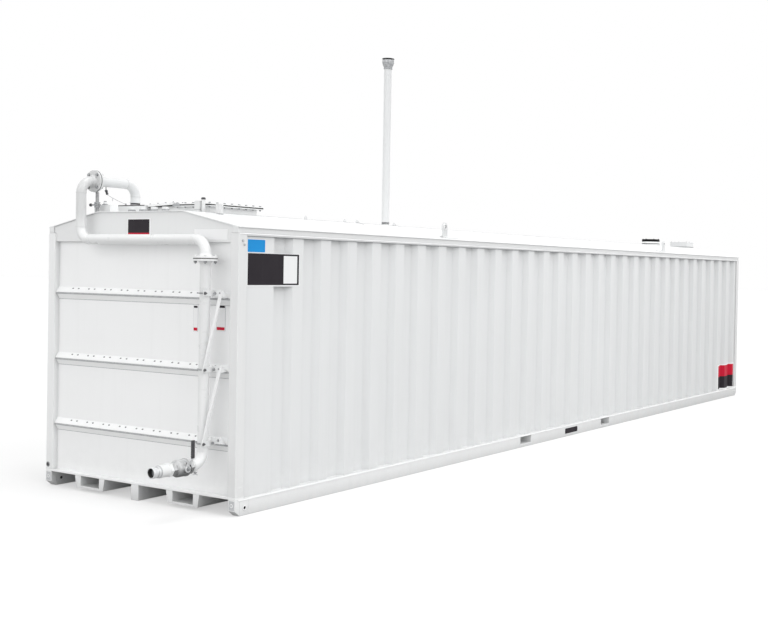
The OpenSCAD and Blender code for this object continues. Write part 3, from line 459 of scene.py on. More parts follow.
def weld(bm, path, r=0.004, closed=False, step=0.011):
    """A rippled weld bead along straight legs."""
    legs = list(zip(path, path[1:])) + ([(path[-1], path[0])] if closed else [])
    for leg, (a, b) in enumerate(legs):
        a, b = Vector(a), Vector(b)
        n = max(2, int((b - a).length / step))
        t = (b - a).normalized()
        u = t.cross(Z) if abs(t.z) < 0.9 else t.cross(X)
        u.normalize()
        v = t.cross(u)
        spokes = [u * math.cos(math.pi / 3 * i) + v * math.sin(math.pi / 3 * i) for i in range(6)]
        swells = [r * (0.86 + 0.14 * (k % 2) + 0.06 * math.sin(k * 1.7 + leg)) for k in range(n + 1)]
        rings(bm, [[a.lerp(b, k / n) + swell * spoke for spoke in spokes] for k, swell in enumerate(swells)])


def round_weld(bm, at, r, bead=0.004, n=48):
    sweep(bm, circle(turned(at), r, n), [bead * (0.88 + 0.12 * (k % 2)) for k in range(n)], 8, closed=True)


def across(x, y, z):
    """A straight path across the tank."""
    return [(-x, y, z), (x, y, z)]


def box_loop(x0, x1, y0, y1, z):
    return [(x0, y0, z), (x1, y0, z), (x1, y1, z), (x0, y1, z)]


def rim_spots(x0, x1, y0, y1, inset, pitch, z):
    """Evenly spaced spots round a rectangle, corners included; z is a height or gives it for an x."""
    corners = box_loop(x0 + inset, x1 - inset, y0 + inset, y1 - inset, 0)
    spots = []
    for (ax, ay, _), (bx, by, _) in zip(corners, corners[1:] + corners[:1]):
        n = round(math.dist((ax, ay), (bx, by)) / pitch)
        for k in range(n):
            x, y = ax + (bx - ax) * k / n, ay + (by - ay) * k / n
            spots.append((x, y, z(x) if callable(z) else z))
    return spots


CORNERS = [(sx, sy) for sx in (1, -1) for sy in (1, -1)]


# ---- end panels
def rib_details():
    dots = begin("rib_plug_welds", "spot")
    lines, feet = begin("rib_nose_painted_shadows", "seal"), begin("rib_foot_shade_lines", "seal")
    face = PANEL_Y - RIB_OUT
    dot_up, slope_up = 0.03, 0.048
    middle, pitch, half_pair = 0.01, 0.2203, 0.039
    for end in (1, -1):
        out = Vector((0, -end * slope_up, RIB_OUT)).normalized()
        for z in RIB_ZS:
            for x in (middle + pitch * k + side for k in range(-4, 5) for side in (-half_pair, half_pair)):
                at = Vector((x, end * (face + RIB_OUT * dot_up / slope_up), z + dot_up))
                lathe(dots, turned(at - 0.0005 * out, out) @ Matrix.Diagonal((1.7, 1, 1, 1)),
                      [(6.8, 0), (6.8, 1.2), (5.5, 2.8), (2, 3.6)], 14)
            # Grey bars under each rib's nose and along its foot: painted shadow.
            sweep(lines, across(POST_IN - 0.001, end * (face + 0.0045), z - 0.0145), 0.0085)
            sweep(feet, across(POST_IN, end * PANEL_Y, z - 0.07), 0.0022, 8)


def panel_welds():
    bm = begin("panel_weld_beads", "white")
    low, high = SILL_TOP, HEADER_LOW
    for end in (1, -1):
        y, front = end * (PANEL_Y - 0.001), end * (Y_FRONT + 0.001)
        for z in (low, high):
            weld(bm, across(POST_IN - 0.002, y, z))
        for side in (1, -1):
            inner, outer, joint = side * POST_IN, side * (HALF_W - 0.001), end * (Y_FRONT + 0.01)
            weld(bm, [(inner, y, low), (inner, y, high)])
            weld(bm, [(inner, joint, high + 0.004), (inner, joint, 2.378)], 0.0035)
            weld(bm, [(side * (POST_IN + 0.004), front, low), (side * (HALF_W - 0.003), front, low)], 0.0035)
            weld(bm, [(outer, end * (Y_FRONT + 0.005), low), (outer, end * (Y_FRONT + POST_D), low)], 0.0035)


rib_details()
panel_welds()


# ---- side walls and roof
def corr_path(x, z, y0=Y_FRONT + POST_D, y1=Y_REAR - POST_D, proud=0.0):
    """The corrugated wall's outline at a height, between two places along the tank."""
    first, pitch, slope, inner, depth, count = CORR
    face, back = x + proud, x - depth + proud
    pts = [(face, Y_FRONT + POST_D)]
    for k in range(count):
        y = Y_FRONT + first + k * pitch
        into, out = y + slope, y + slope + inner
        pts += [(face, y), (back, into), (back, out), (face, out + slope)]
    pts.append((face, Y_REAR - POST_D))
    path = []
    for (xa, ya), (xb, yb) in zip(pts, pts[1:]):
        if yb <= y0 or ya >= y1:
            continue
        for y in (max(ya, y0), min(yb, y1)):
            p = (xa + (xb - xa) * (y - ya) / (yb - ya), y, z)
            if not path or math.dist(p, path[-1]) > 1e-6:
                path.append(p)
    return path


def wall_welds():
    for side, name in ((1, "right"), (-1, "left")):
        bm = begin("wall_foot_weld_" + name, "white")
        weld(bm, [(side * x, y, z) for x, y, z in corr_path(WALL_X, RAIL_H + 0.001)], 0.0045, step=0.014)


def roof_line(y, inset, lift):
    """The roof's section at a place along the tank."""
    edge = HALF_W - inset
    eave = roof_z(HALF_W) + lift
    return [(-edge, y, eave), (-FLAT, y, ROOF + lift), (FLAT, y, ROOF + lift), (edge, y, eave)]


def roof_details():
    seams, folds = begin("roof_seam_welds", "white"), begin("roof_fold_shade_lines", "seal")
    sheet_w, eave_z = 1.524, 2.4285
    for k in range(1, 8):
        weld(seams, roof_line(Y_FRONT + k * sheet_w, 0.004, 0.0005), 0.0032, step=0.013)
    for side in (1, -1):
        x = side * HALF_W
        weld(seams, [(x, Y_FRONT + 0.002, eave_z), (x, Y_REAR - 0.002, eave_z)], 0.0028, step=0.02)
        # A grey line along each roof fold: painted shade where the roof's slope changes.
        x, z = side * FLAT, ROOF - 0.001
        sweep(folds, [(x, Y_FRONT + 0.004, z), (x, Y_REAR - 0.004, z)], 0.0035, 8)
    for end in (1, -1):
        weld(seams, roof_line(end * (Y_FRONT + 0.001), 0.005, -0.006), 0.003)


def edge_strips():
    """Folded edges of the rails in the paler paint, a painted highlight, and a grey strip between the wall and the top
    rail that is painted shadow under the rail.
    """
    folds, seams = begin("rail_folded_edges_painted_highlight", "pale"), begin("wall_top_painted_shadow", "mid")
    for side in (1, -1):
        # Pale paint on the folded lips: painted highlight.
        for z0, z1, y in ((2.3695, 2.38, 6.088), (0.125, 0.1406, 6.06)):
            outline = ((-0.0008, z0), (0.003, z0 + 0.0015), (0.0042, z0 + 0.0045), (0.001, z1), (-0.0008, z1 + 0.0006))
            rings(folds, [[(side * (HALF_W + d), end, z) for d, z in outline] for end in (-y, y)])
        # A grey strip under the top rail, following the corrugations: painted shadow.
        low = corr_path(WALL_X, 2.3525, proud=0.0012)
        sheet(seams, [[(side * (x + dx), y, z + dz) for x, y, z in low]
                      for dz, dx in ((0, -0.0011), (0, 0), (0.0095, 0.0004), (0.0095, -0.0011))])


wall_welds()
roof_details()
edge_strips()


# ---- pipework
def pipe_details():
    half, bolt_circle = 0.0205, 0.081
    riser, upper = Vector((RISER.x, RISER.y, JOINT_Z)), Vector((UPRIGHT_X, OVER_Y, OVER_Z))
    necks, edges = begin("flange_necks", "pipe"), begin("gasket_edges", "rubber")
    # Each bolted joint: its middle, the way its bolts' heads face, and their look.
    for name, mid, up, look in (("riser", riser, Z, "pipe"), ("upper", upper, -Y, "zinc")):
        for part, way, how in (("heads", up, dict(look=look)), ("nuts", -up, dict(head=0.013, stud=0.008))):
            # Bolt circles start from the same side of the pipe on both faces.
            spots = circle(turned(mid + way * half, Z if name == "riser" else Y), bolt_circle, 4, math.pi / 4)
            bolts(f"{name}_flange_{part}", spots, way, **how)
            lathe(necks, turned(mid + way * half, way),
                  [(57.5, -0.5), (56.5, 4), (51.5, 12), (46.2, 24), (44.6, 27), (44.6, -0.5)], 40, closed=True)
        lathe(edges, turned(mid, Z if name == "riser" else Y),
              [(97, -3.6), (100.3, -3.6), (100.9, 0), (100.3, 3.6), (97, 3.6)], 64, closed=True)
    joints = begin("pipe_butt_welds", "pipe")
    n = 40
    beads = [0.0026 + 0.0005 * math.sin(k * 2.2) for k in range(n)]
    for x, y, z, axis in ((RISER.x, RISER.y, 0.549, Z), (RISER.x, -6.31, OUTLET_Z, Y), (RISER.x, RISER.y, 2.206, Z),
                          (0.825, RISER.y, 2.32, X), (-0.525, RISER.y, 2.32, X), (UPRIGHT_X, RISER.y, 2.434, Z),
                          (UPRIGHT_X, RISER.y, 2.743, Z), (UPRIGHT_X, -6.082, OVER_Z, Y), (UPRIGHT_X, -5.7, OVER_Z, Y),
                          (UPRIGHT_X, INLET_Y, 2.743, Z)):
        sweep(joints, circle(turned((x, y, z), axis), PIPE_R + 0.0002, n), beads, 8, closed=True)


def bracket_details():
    cheek, face, brace, leg_y, brace_y = 0.99175, -6.15125, 0.006, -6.24675, -6.0805
    legs, plates, rear = [], [], []
    beads = begin("bracket_weld_beads", "pipe")
    for k, (z, mid) in enumerate(zip(UBOLT_ZS, BRACKET_ZS)):
        legs.append((cheek + (brace if k < 2 else 0), leg_y, z))
        rear.append((1.012, face, z))
        plates.append((1.072, face, mid + 0.004))
        for x, y, r in ((cheek, face, 0.003), (1.0935, face + 0.008, 0.0025)):
            weld(beads, [(x, y, mid - 0.026), (x, y, mid + 0.026)], r)
        for x in (0.9917, 1.0929):
            weld(beads, [(x, brace_y, RIB_ZS[k] - 0.008), (x, brace_y, RIB_ZS[k])], 0.0025)
    bolts("ubolt_front_nuts", legs, X, af=0.021, head=0.011, stud=0.01, look="iron")
    bolts("ubolt_rear_nuts", rear, -Y, af=0.019)
    bolts("bracket_bolts", plates, -Y, af=0.017, head=0.008)


pipe_details()
bracket_details()


# ---- outlet valve
OUTLET = Matrix.Translation((RISER.x, 0, OUTLET_Z)) @ Matrix.Rotation(-math.pi / 2, 4, "X")


def on_stem(out):
    """Local Z along the valve's stem, at a distance to the right of the outlet's middle."""
    return turned((RISER.x + out, VALVE_Y, OUTLET_Z), X)


def valve():
    bm = begin("valve_casting", "valve", stands_for=("valve_body",), sharp=32)
    near, far = -6548, -6332
    half = [(21.5, 40), (52, 40), (54.5, 44), (57, 50), (66, 56), (71, 64), (72, 80)]
    lathe(bm, OUTLET, [(r, near + h) for r, h in half] + [(r, far - h) for r, h in half[::-1]], 48)
    hole = 67.55
    for a, b, af in ((near, near + 48, 98), (far - 48, far, 112)):
        hexagon(bm, OUTLET, [(af * 0.93, a), (af, a + 4), (af, b - 4), (af * 0.93, b), (hole, b), (hole, a)],
                closed=True)
    # Joint band of the two-piece body, and the stem's boss.
    lathe(bm, OUTLET, [(70, -6398), (74.5, -6397), (75.5, -6394), (75.5, -6386), (74.5, -6383), (70, -6382)], 48,
          closed=True)
    lathe(bm, on_stem(0.055), [(36, 0), (34, 12), (30, 18), (26.5, 22), (26, 32.5)])
    gland = begin("stem_nut", "zinc")
    lathe(gland, on_stem(0.0838), [(21.5, 0), (21.5, 3), (20, 4)], 24)
    m = on_stem(0.097)
    lathe(gland, m, [(16.5, -0.1), (17.5, 0.6), (16.5, 1.6)], 24)
    hexagon(gland, m, [(25.65, 1.6), (27, 3), (27, 9), (23.76, 11)])
    lathe(gland, m, [(8.8, 9.5), (8.2, 11.5), (8.8, 13.5), (8.2, 15.5), (8.8, 17.5), (7, 19)], 16)
    lathe(gland, on_stem(0.0805), [(8.8, 0), (8.8, 16.6)], 16)
    # Stop plate behind the lever's hub: an arc with two lugs.
    plate = begin("lever_stop", "lever")
    steps, bend_r, lug_r, hub_r = 18, 0.046, 0.055, 0.0268
    arc = [(math.radians(-12 + 132 * k / steps), bend_r if 1 < k < steps - 1 else lug_r) for k in range(steps + 1)]
    outer = [Vector((0, math.sin(a) * r, math.cos(a) * r)) for a, r in arc]
    inner = [Vector((0, math.sin(a) * hub_r, math.cos(a) * hub_r)) for a, r in arc]
    for k in range(steps):
        quad = [outer[k], outer[k + 1], inner[k + 1], inner[k]]
        rings(plate, [[Vector((RISER.x + x, VALVE_Y, OUTLET_Z)) + p for p in quad] for x in (0.0805, 0.0845)])
    spots = [(RISER.x + 0.064 * math.cos(a), -6.3815, OUTLET_Z + 0.064 * math.sin(a)) for a in (0.6, 2.4, 3.9, 5.3)]
    bolts("valve_body_bolts", spots, Y, af=0.013, head=0.007, washer=False)


def bent_strip(path, w, thick):
    """Cross sections of a flat bar, w to each side of the valve's middle, bent along a path in the XZ plane."""
    loops = []
    e = thick * 0.3
    for k, (x, z) in enumerate(path):
        a, b = path[max(0, k - 1)], path[min(len(path) - 1, k + 1)]
        t = Vector((b[0] - a[0], b[1] - a[1])).normalized()
        nrm = Vector((t.y, -t.x)) * thick / 2
        loops.append([Vector((x + nrm.x * s, VALVE_Y + y, z + nrm.y * s)) for y, s in (
            (-w, -0.4), (-w + e, -1), (w - e, -1), (w, -0.4), (w, 0.4), (w - e, 1), (-w + e, 1), (-w, 0.4))])
    return loops


def smooth_path(points, radius, n=6):
    """Rounds the corners of a bent line in a plane."""
    out = [points[0]]
    for a, p, b in zip(points, points[1:], points[2:]):
        a, p, b = Vector(a), Vector(p), Vector(b)
        d = min(radius, (a - p).length * 0.45, (b - p).length * 0.45)
        s, e = p + (a - p).normalized() * d, p + (b - p).normalized() * d
        for t in (k / n for k in range(n + 1)):
            out.append(tuple(s * (1 - t) ** 2 + p * 2 * t * (1 - t) + e * t ** 2))
    out.append(points[-1])
    return out


def lever():
    hub, thick, crank, reach, grip_low, ribs = 0.0885, 0.0075, 0.052, 0.238, 0.094, 33
    x, z = RISER.x + hub + thick / 2, OUTLET_Z
    top, z0 = z + reach, z + grip_low
    bar = begin("lever_bar", "alu", body="valve_lever", stands_for=("valve_lever",))
    path = [(x, z + 0.02), (x, z + 0.04), (x + crank, z + 0.092), (x + crank, top)]
    rings(bar, bent_strip(smooth_path(path, 0.016), 0.0155, thick))
    lathe(bar, on_stem(hub), [(9.1, 0), (26.5, 0), (28, 1.2), (28, 6.5), (27, 7.5), (9.1, 7.5)], 36, closed=True)
    grip = begin("lever_grip", "vinyl", body="valve_lever", sharp=50)
    loops = []
    for t in (k / ribs for k in range(ribs + 1)):
        z = z0 + t * (top + 0.003 - z0)
        end = min(t, 1 - t) * 9
        swell = min(1.0, 0.35 + 0.65 * math.sqrt(max(0.0, min(1.0, end * 2.2))))
        ripple = 0.0006 * math.sin(t * ribs * 1.9) if 0.1 < t < 0.9 else 0
        half_w = (0.0185 + ripple) * (0.9 + 0.1 * swell)
        half_t = (0.0072 + ripple) * (0.75 + 0.25 * swell)
        turns = [(math.cos(math.tau * i / 24), math.sin(math.tau * i / 24)) for i in range(24)]
        loops.append([(x + crank + half_t * math.copysign(abs(s) ** 0.7, s),
                       VALVE_Y + half_w * math.copysign(abs(c) ** 0.6, c), z) for c, s in turns])
    rings(grip, loops)


def adapter():
    bore, tip, groove, neck_end, sleeve_end = 37.5, -6746, -6708, -6692, -6666
    sleeve = begin("outlet_sleeve", "pipe", stands_for=("hose_adapter",))
    lathe(sleeve, OUTLET, [(bore + 4, -6572), (50.5, -6572), (50.5, -6631), (52, -6634), (52, sleeve_end + 3),
                           (49.5, sleeve_end), (bore + 4, sleeve_end)], 48, closed=True)
    hexagon(sleeve, OUTLET, [(99.64, -6548), (106, -6551), (106, -6574), (98.58, -6578), (80, -6578), (80, -6548)],
            closed=True)
    neck = begin("hose_adapter_neck", "alu")
    lathe(neck, OUTLET, [(bore, -6560), (bore + 5, -6560), (bore + 5, sleeve_end - 0.1), (45.7, sleeve_end - 0.1),
                         (45.7, neck_end + 1), (44.7, neck_end), (41.2, neck_end), (40.5, neck_end - 1.2),
                         (40.5, groove + 1.2), (41.2, groove), (44.7, groove), (45.7, groove - 1), (45.7, tip + 2),
                         (43.7, tip), (bore + 2, tip), (bore, tip + 3)], 56, closed=True)
    # Inside the bore: a black liner as painted shade, and a grey disc deeper in as painted light where the bore's
    # inside shows lit.
    shade, lit_disc = begin("adapter_bore_shade", "rubber"), begin("adapter_bore_lit_disc", "grey")
    inside = [(bore + 0.6, tip + 4), (bore - 0.4, tip + 5), (bore - 0.4, -6700), (bore + 0.6, -6700)]
    lathe(shade, OUTLET, inside, 40, closed=True)
    lathe(lit_disc, OUTLET, [(bore - 0.3, -6702), (bore - 0.3, -6699), (2, -6699), (2, -6702)], 40, closed=True)
    tape = begin("sleeve_thread_tape", "mid")
    at = turned((RISER.x, sleeve_end / 1000 - 0.0006, OUTLET_Z), -Y)
    sweep(tape, circle(at, 0.0505, 48), 0.0012, 6, closed=True)
    wing = begin("drain_wing", "alu")
    x, y, top = RISER.x, -6.274, 0.3686
    lathe(wing, turned((x, y, top), -Z), [(6.8, -1), (6.8, 8), (5.5, 10)], 16)
    half = [(0.027, 0.013, 0.0035), (0.024, 0.0125, 0.0052), (0.008, 0.009, 0.0046)]
    span = [(-d, h, r) for d, h, r in half] + [(0, 0.008, 0.0044)] + half[::-1]
    sweep(wing, [(x + d, y, top - h) for d, h, r in span], [r for d, h, r in span], 12)


valve()
lever()
adapter()


# ---- roof fittings
def frame_bars(bm, x0, x1, y0, y1, z0, z1, width):
    """Four bars round a rectangle, standing a little out of it."""
    proud = edge = 0.0008
    x0, x1, y0, y1 = x0 - proud, x1 + proud, y0 - proud, y1 + proud
    for lo, hi in (((x0, y0), (x1, y0 + width)), ((x0, y1 - width), (x1, y1)),
                   ((x0, y0), (x0 + width, y1)), ((x1 - width, y0), (x1, y1))):
        slab(bm, (*lo, z0), (*hi, z1), edge)


def manway_details():
    x0, x1, y0, y1 = MANWAY
    spots = rim_spots(x0, x1, y0, y1, 0.021, 0.097, 2.663)
    bolts("manway_bolts", spots, af=0.019, head=0.0085)
    bolts("manway_nuts", [(x, y, 2.635) for x, y, _ in spots], -Z, af=0.015, head=0.009, stud=0.005, washer=False)
    cx0, cx1, cy0, cy1 = COVER
    fall = 0.016 / 0.335

    def lid_z(x):
        return 2.675 - (cx1 - x) * fall
    out = Vector((-fall, 0, 1)).normalized()
    bolts("gauge_cover_bolts", rim_spots(cx0, cx1, cy0, cy1, 0.016, 0.105, lid_z), out, af=0.014, head=0.006)
    hinges = begin("gauge_cover_hinges", "zinc")
    top = lid_z(cx0)
    for y in (cy0 + 0.07, cy1 - 0.07):
        for side in (-0.024, 0.024):
            sweep(hinges, [(cx0 - 0.008, y + side + d, top - 0.008) for d in (-0.018, 0.018)], 0.0062, 12)
        slab(hinges, (cx0 - 0.004, y - 0.04, top - 0.001), (cx0 + 0.045, y + 0.04, top + 0.0045))
    slab(begin("manway_strap", "seal"), (cx1 - 0.006, cy0 - 0.0055, 2.64), (cx1 + 0.085, cy0 - 0.0004, 2.662), 0.002)
    slab(begin("collar_filler", "white"), (cx1 - 0.022, cy0 + 0.042, ROOF), (x0 + 0.043, cy0 + 0.048, 2.6425), 0.001)
    frame_bars(begin("manway_seal_edge", "rubber"), *MANWAY, 2.6435, 2.6545, 0.012)
    slab(begin("plinth_seal_edge", "rubber"), (-0.7692, -5.7466, 2.6465), (-0.3288, -5.7436, 2.6552), 0.0008)
    beads = begin("cover_weld_beads", "white")
    low, rim = ROOF + 0.001, 0.042
    weld(beads, box_loop(x0 + rim, x1 - rim, y0 + rim, y1 - rim, low), closed=True)
    weld(beads, box_loop(cx0 + rim, cx1 - rim / 2, cy0 + rim, cy1 - rim, low), closed=True)
    weld(beads, box_loop(-0.55, -0.329, -5.746, -5.426, low))


def roof_fitting_details():
    beads, low = begin("fitting_weld_beads", "white"), ROOF + 0.001
    round_weld(beads, (VENT.x, VENT.y, low), 0.0505)
    round_weld(beads, (HATCH.x, HATCH.y, low), 0.1505, 0.005, 72)
    round_weld(beads, (UPRIGHT_X, INLET_Y, 2.656), 0.0495, 0.0035)
    for y in PLUG_YS:
        round_weld(beads, (0.5, y, low), 0.0155, 0.003, 24)
    bands, tops = begin("cap_bands", "grey"), begin("cap_tops", "vent")
    for x in CAP_XS:
        at = Vector((x, Y_FRONT + 0.13, ROOF))
        round_weld(beads, at + 0.001 * Z, 0.0305, 0.003, 32)
        lathe(bands, turned(at + 0.007 * Z),
              [(29, 0), (31.8, 0.4), (32.6, 3), (32.6, 11), (31.6, 13.6), (29, 14)], 36, closed=True)
        lathe(tops, turned(at + 0.0395 * Z), [(29.2, 0), (28.5, 2), (20, 3.5), (6, 4)])
    for y in PLUG_YS:
        hexagon(tops, turned((0.5, y, ROOF + 0.0295)), [(17, 0), (17, 9), (14.62, 10.5)])
    seals = begin("fitting_seals", "seal")
    frame_bars(seals, 0.428, 0.49, -5.846, -5.786, ROOF + 0.02, ROOF + 0.0255, 0.004)
    frame_bars(seals, 0.588, 0.636, -5.75, -5.702, 2.558, 2.5665, 0.004)
    tails = begin("plug_retainers", "vent")
    for y in PLUG_YS[2:]:
        lathe(tails, turned((0.5, y, ROOF + 0.01)), [(15.5, 0), (17.8, 0.8), (17.8, 4.8), (15.5, 5.6)], 24, closed=True)
        sweep(tails, [(x, y - back, (ROOF if x < FLAT else roof_z(x)) + up) for x, back, up in (
            (0.516, 0, 0.013), (0.532, 0.004, 0.012), (0.548, 0.012, 0.006), (0.566, 0.02, 0.004),
            (0.59, 0.024, 0.0035), (0.612, 0.02, 0.0035))], 0.0032, 8)
    saddle = begin("socket_saddle", "grey")
    lathe(saddle, turned((-0.654, -5.921, 2.6452)),
          [(30, -1), (30, 4), (24, 8), (18.5, 12), (15.2, 12), (15.2, -1)], 28, closed=True)
    hexagon(saddle, turned((-0.654, -5.921, 2.6745)), [(22, 0), (22, 8), (19.36, 10)])
    knobs = begin("black_knobs", "vinyl")
    lathe(knobs, turned((0.507, -5.816, 2.6865)),
          [(18.5, 0), (19.5, 2), (19.5, 10), (17.5, 16), (12, 19.5), (4, 20.5)], 28)
    lathe(knobs, turned((UPRIGHT_X - 0.0765, SUPPORT_Y, 2.642), -X),
          [(7, -1), (10, 1), (13.8, 5), (15.2, 11), (14.5, 18), (11, 23.5), (4, 26.2)], 28)
    cock = begin("cock_nuts", "zinc")
    m = turned((UPRIGHT_X, SUPPORT_Y, 2.642), -Y)
    lathe(cock, m, [(14, 18), (14.5, 25), (13, 30)], 20)
    hexagon(cock, m, [(22, 20), (22, 29), (18.92, 31)])
    for z in (2.6165, 2.6555):
        hexagon(cock, turned((UPRIGHT_X, SUPPORT_Y, z)), [(43.24, 0), (46, 1.5), (46, 10.5), (43.24, 12)])


def vent_details():
    top, foot, r = 4.538, 4.497, 0.0615
    lid, mesh = begin("vent_cap_lid", "lever"), begin("vent_flame_mesh", "grey")
    lathe(lid, turned(VENT + Z * (top - 0.0062)),
          [(65.5, 0), (70.5, 0.4), (71.4, 2.6), (70.6, 5.8), (45, 8.8), (6, 9.8)], 56)
    hexagon(lid, turned(VENT + Z * (top + 0.0025)), [(16, 0), (16, 6), (13.76, 7)])
    for a in (math.tau * k / 36 for k in range(36)):
        for lean in (-0.35, 0.35):
            wire = ((a, foot), (a + lean, top - 0.007))
            sweep(mesh, [VENT + Vector((r * math.cos(b), r * math.sin(b), z)) for b, z in wire], 0.0007, 4)
    lathe(begin("vent_cap_clamp", "zinc"), turned(VENT + Z * 4.418),
          [(48.3, 0), (50.5, 0.5), (50.5, 11.5), (48.3, 12)], 48, closed=True)


def hatch_details():
    at = turned(HATCH)
    lathe(begin("hatch_cover", "hatch", stands_for=("rear_hatch_lid",), sharp=40), at,
          [(150.1, 2668), (151.2, 2668.2), (151.6, 2670), (151.6, 2683), (152.8, 2684), (153, 2686), (153, 2703),
           (150.5, 2709), (144, 2711), (134, 2710), (126, 2711), (60, 2713), (10, 2713.5), (10, 2683.1),
           (150.1, 2683.1)], 72, closed=True)
    lathe(begin("hatch_seal_ring", "rubber"), at,
          [(150, 2626.5), (153, 2627), (153.8, 2629), (153.8, 2635), (153, 2637), (150, 2637.5)], 72, closed=True)
    clamps = begin("hatch_clamps", "hatch")
    for top in circle(at, 0.134, 6, 0.3, 2.7095):
        bolt(clamps, top, af=0.015, head=0.005, stud=0.003)
    x0, x1, y0, y1 = 0.14, 0.46, 5.534, 5.834
    slab(begin("rear_box_cover", "vent"), (x0 - 0.004, y0 - 0.004, 2.668), (x1 + 0.004, y1 + 0.004, 2.682), 0.003)
    band = begin("rear_box_seal", "spot")
    for lo, hi in (((x0 - 0.002, y0 - 0.002), (x1 + 0.002, y0 + 0.004)),
                   ((x0 - 0.002, y1 - 0.004), (x1 + 0.002, y1 + 0.002)),
                   ((x0 - 0.002, y0), (x0 + 0.004, y1)), ((x1 - 0.004, y0), (x1 + 0.002, y1))):
        slab(band, (*lo, 2.592), (*hi, 2.601), 0.001)
    bolts("rear_box_screws", rim_spots(x0, x1, y0, y1, 0.018, 0.13, 2.682), af=0.013, head=0.005)


def lug_details():
    beads, eyes = begin("lug_weld_beads", "white"), begin("lug_eye_rings", "white")
    x, half, pad_half = 1.13, 0.045, 0.115
    plate_z, eye_z = roof_z(x) + 0.0125, roof_z(x - half) + 0.107
    for sx, sy in CORNERS:
        y, pad = sy * 2.95, sy * 2.87
        for dx, dz in ((-0.0105, 0.0025), (0.0105, -0.002)):
            weld(beads, [(sx * (x + dx), y + e, plate_z + dz) for e in (-half, half)], 0.005)
        sides = [[(sx * (x + a), pad + b, roof_z(x + a) + 0.001) for b in (-pad_half, pad_half)] for a in (-half, half)]
        for side in sides + list(zip(*sides)):
            weld(beads, side)
        for way in (X, -X):
            lathe(eyes, turned(Vector((sx * x, y, eye_z)) + 0.01 * way, way),
                  [(22.6, -0.2), (22.6, 2.5), (24.5, 4.2), (31, 4.2), (34, 2), (34, -0.2)], 36, closed=True)


manway_details()
roof_fitting_details()
vent_details()
hatch_details()
lug_details()


# ---- rails and posts
def rail_details():
    eyes, hole_shades = begin("rail_eye_rings", "white"), begin("tie_down_hole_shades", "rubber")
    ends, seams = begin("rail_end_painted_shade", "mid"), begin("rail_weld_beads", "white")
    wall, end = HALF_W - 0.0005, Y_REAR - 0.0005
    for sx, sy in CORNERS:
        hole = turned((sx * HALF_W, sy * 5.985, 0.065), X * sx)
        lathe(eyes, hole, [(13.2, -0.5), (13.2, 3.5), (15, 5.2), (20.5, 5.2), (24, 2.8), (24.5, -0.5)], 40, closed=True)
        lathe(eyes, turned((sx * 1.179, sy * Y_REAR, 0.092), Y * sy),
              [(10.2, -0.5), (10.2, 3), (11.5, 4.5), (15, 4.5), (17.8, 2.4), (18.2, -0.5)], 36, closed=True)
        # A black sleeve inside each tie-down hole: painted shade.
        lathe(hole_shades, hole, [(13.1, -79), (12.9, -79), (12.9, -1), (13.1, -1)], closed=True)
        # Grey faces on the rail ends: painted shade.
        x0, x1 = sorted((sx * 1.148, sx * 1.21))
        y0, y1 = sorted((sy * end, sy * (Y_REAR + 0.0008)))
        slab(ends, (x0, y0, 0.054), (x1, y1, 0.131), 0.0004)
    fork_sides, rail_joints = (-1.411, -1.141, 0.739, 1.009), (5.936, -5.936)
    for sx in (1, -1):
        for ys, foot, r in ((fork_sides, 0.02, 0.0035), (rail_joints, 0.006, 0.003)):
            for y in ys:
                weld(seams, [(sx * wall, y, z) for z in (foot, RAIL_H - 0.003)], r)
    for sx, sy in CORNERS:
        for e in (-1, 1):
            weld(seams, [(sx * (0.6 + e * 0.199), sy * end, 0.137), (sx * (0.6 + e * 0.179), sy * end, 0.024)], 0.003)
    weld(begin("post_weld_mark", "white"), [(HALF_W, -6.062, 0.236), (HALF_W, -6.02, 0.247)], 0.003)
    bolts("post_bolts", [(HALF_W, -6.051, 2.317), (HALF_W, -6.031, 2.284)], X, look="mid", af=0.018, head=0.007)
    at = turned((-1.189, Y_FRONT, 0.2016), -Y)
    lathe(begin("post_bung", "lever"), at,
          [(1.5, 1.5), (8.5, 1.8), (11.5, 5), (15, 5), (16.5, 3), (16.5, -0.4), (1.5, -0.4)], closed=True)
    lathe(begin("post_bung_collar", "grey"), at,
          [(16, -0.4), (16, 2.6), (18, 3.4), (22.5, 3), (24, 1.2), (24, -0.4)], 36, closed=True)


rail_details()


# ---- blank plates and labels
BEAM_FACE, WALL_PLATE = -6.088, WALL_X + 0.002
# Name, plane, u0, u1, v0, v1, place, look, lift and corner radius. u is X in plane "front" and Y in "side"; v is Z.
PLATES = [
    ("head_plate_edge", "front", -0.154, 0.149, 2.356, 2.514, BEAM_FACE + 0.0014, "pale", 0.0004, 0.004),
    ("head_plate_field", "front", -0.141, 0.133, 2.365, 2.501, BEAM_FACE, "dark", 0.0006, 0.004),
    ("head_plate_bar", "front", -0.141, 0.133, 2.365, 2.381, BEAM_FACE, "red", 0.0012, 0.003),
    ("name_plate_field", "side", -5.977, -5.768, 2.2245, 2.331, WALL_PLATE, "blue", 0.0006, 0.004),
    ("notice_plate_field", "side", -5.973, -5.337, 1.944, 2.2145, WALL_PLATE, "dark", 0.0006, 0.004),
    ("notice_plate_panel", "side", -5.535, -5.361, 1.9575, 2.1995, WALL_PLATE, "pale", 0.0012, 0.004),
    ("rail_plate_edge", "side", -0.286, 0.064, 0.03, 0.11, HALF_W, "pale", 0.001, 0.004),
    ("rail_plate_face", "side", -0.28, 0.058, 0.036, 0.104, HALF_W, "dark", 0.0016, 0.004)]
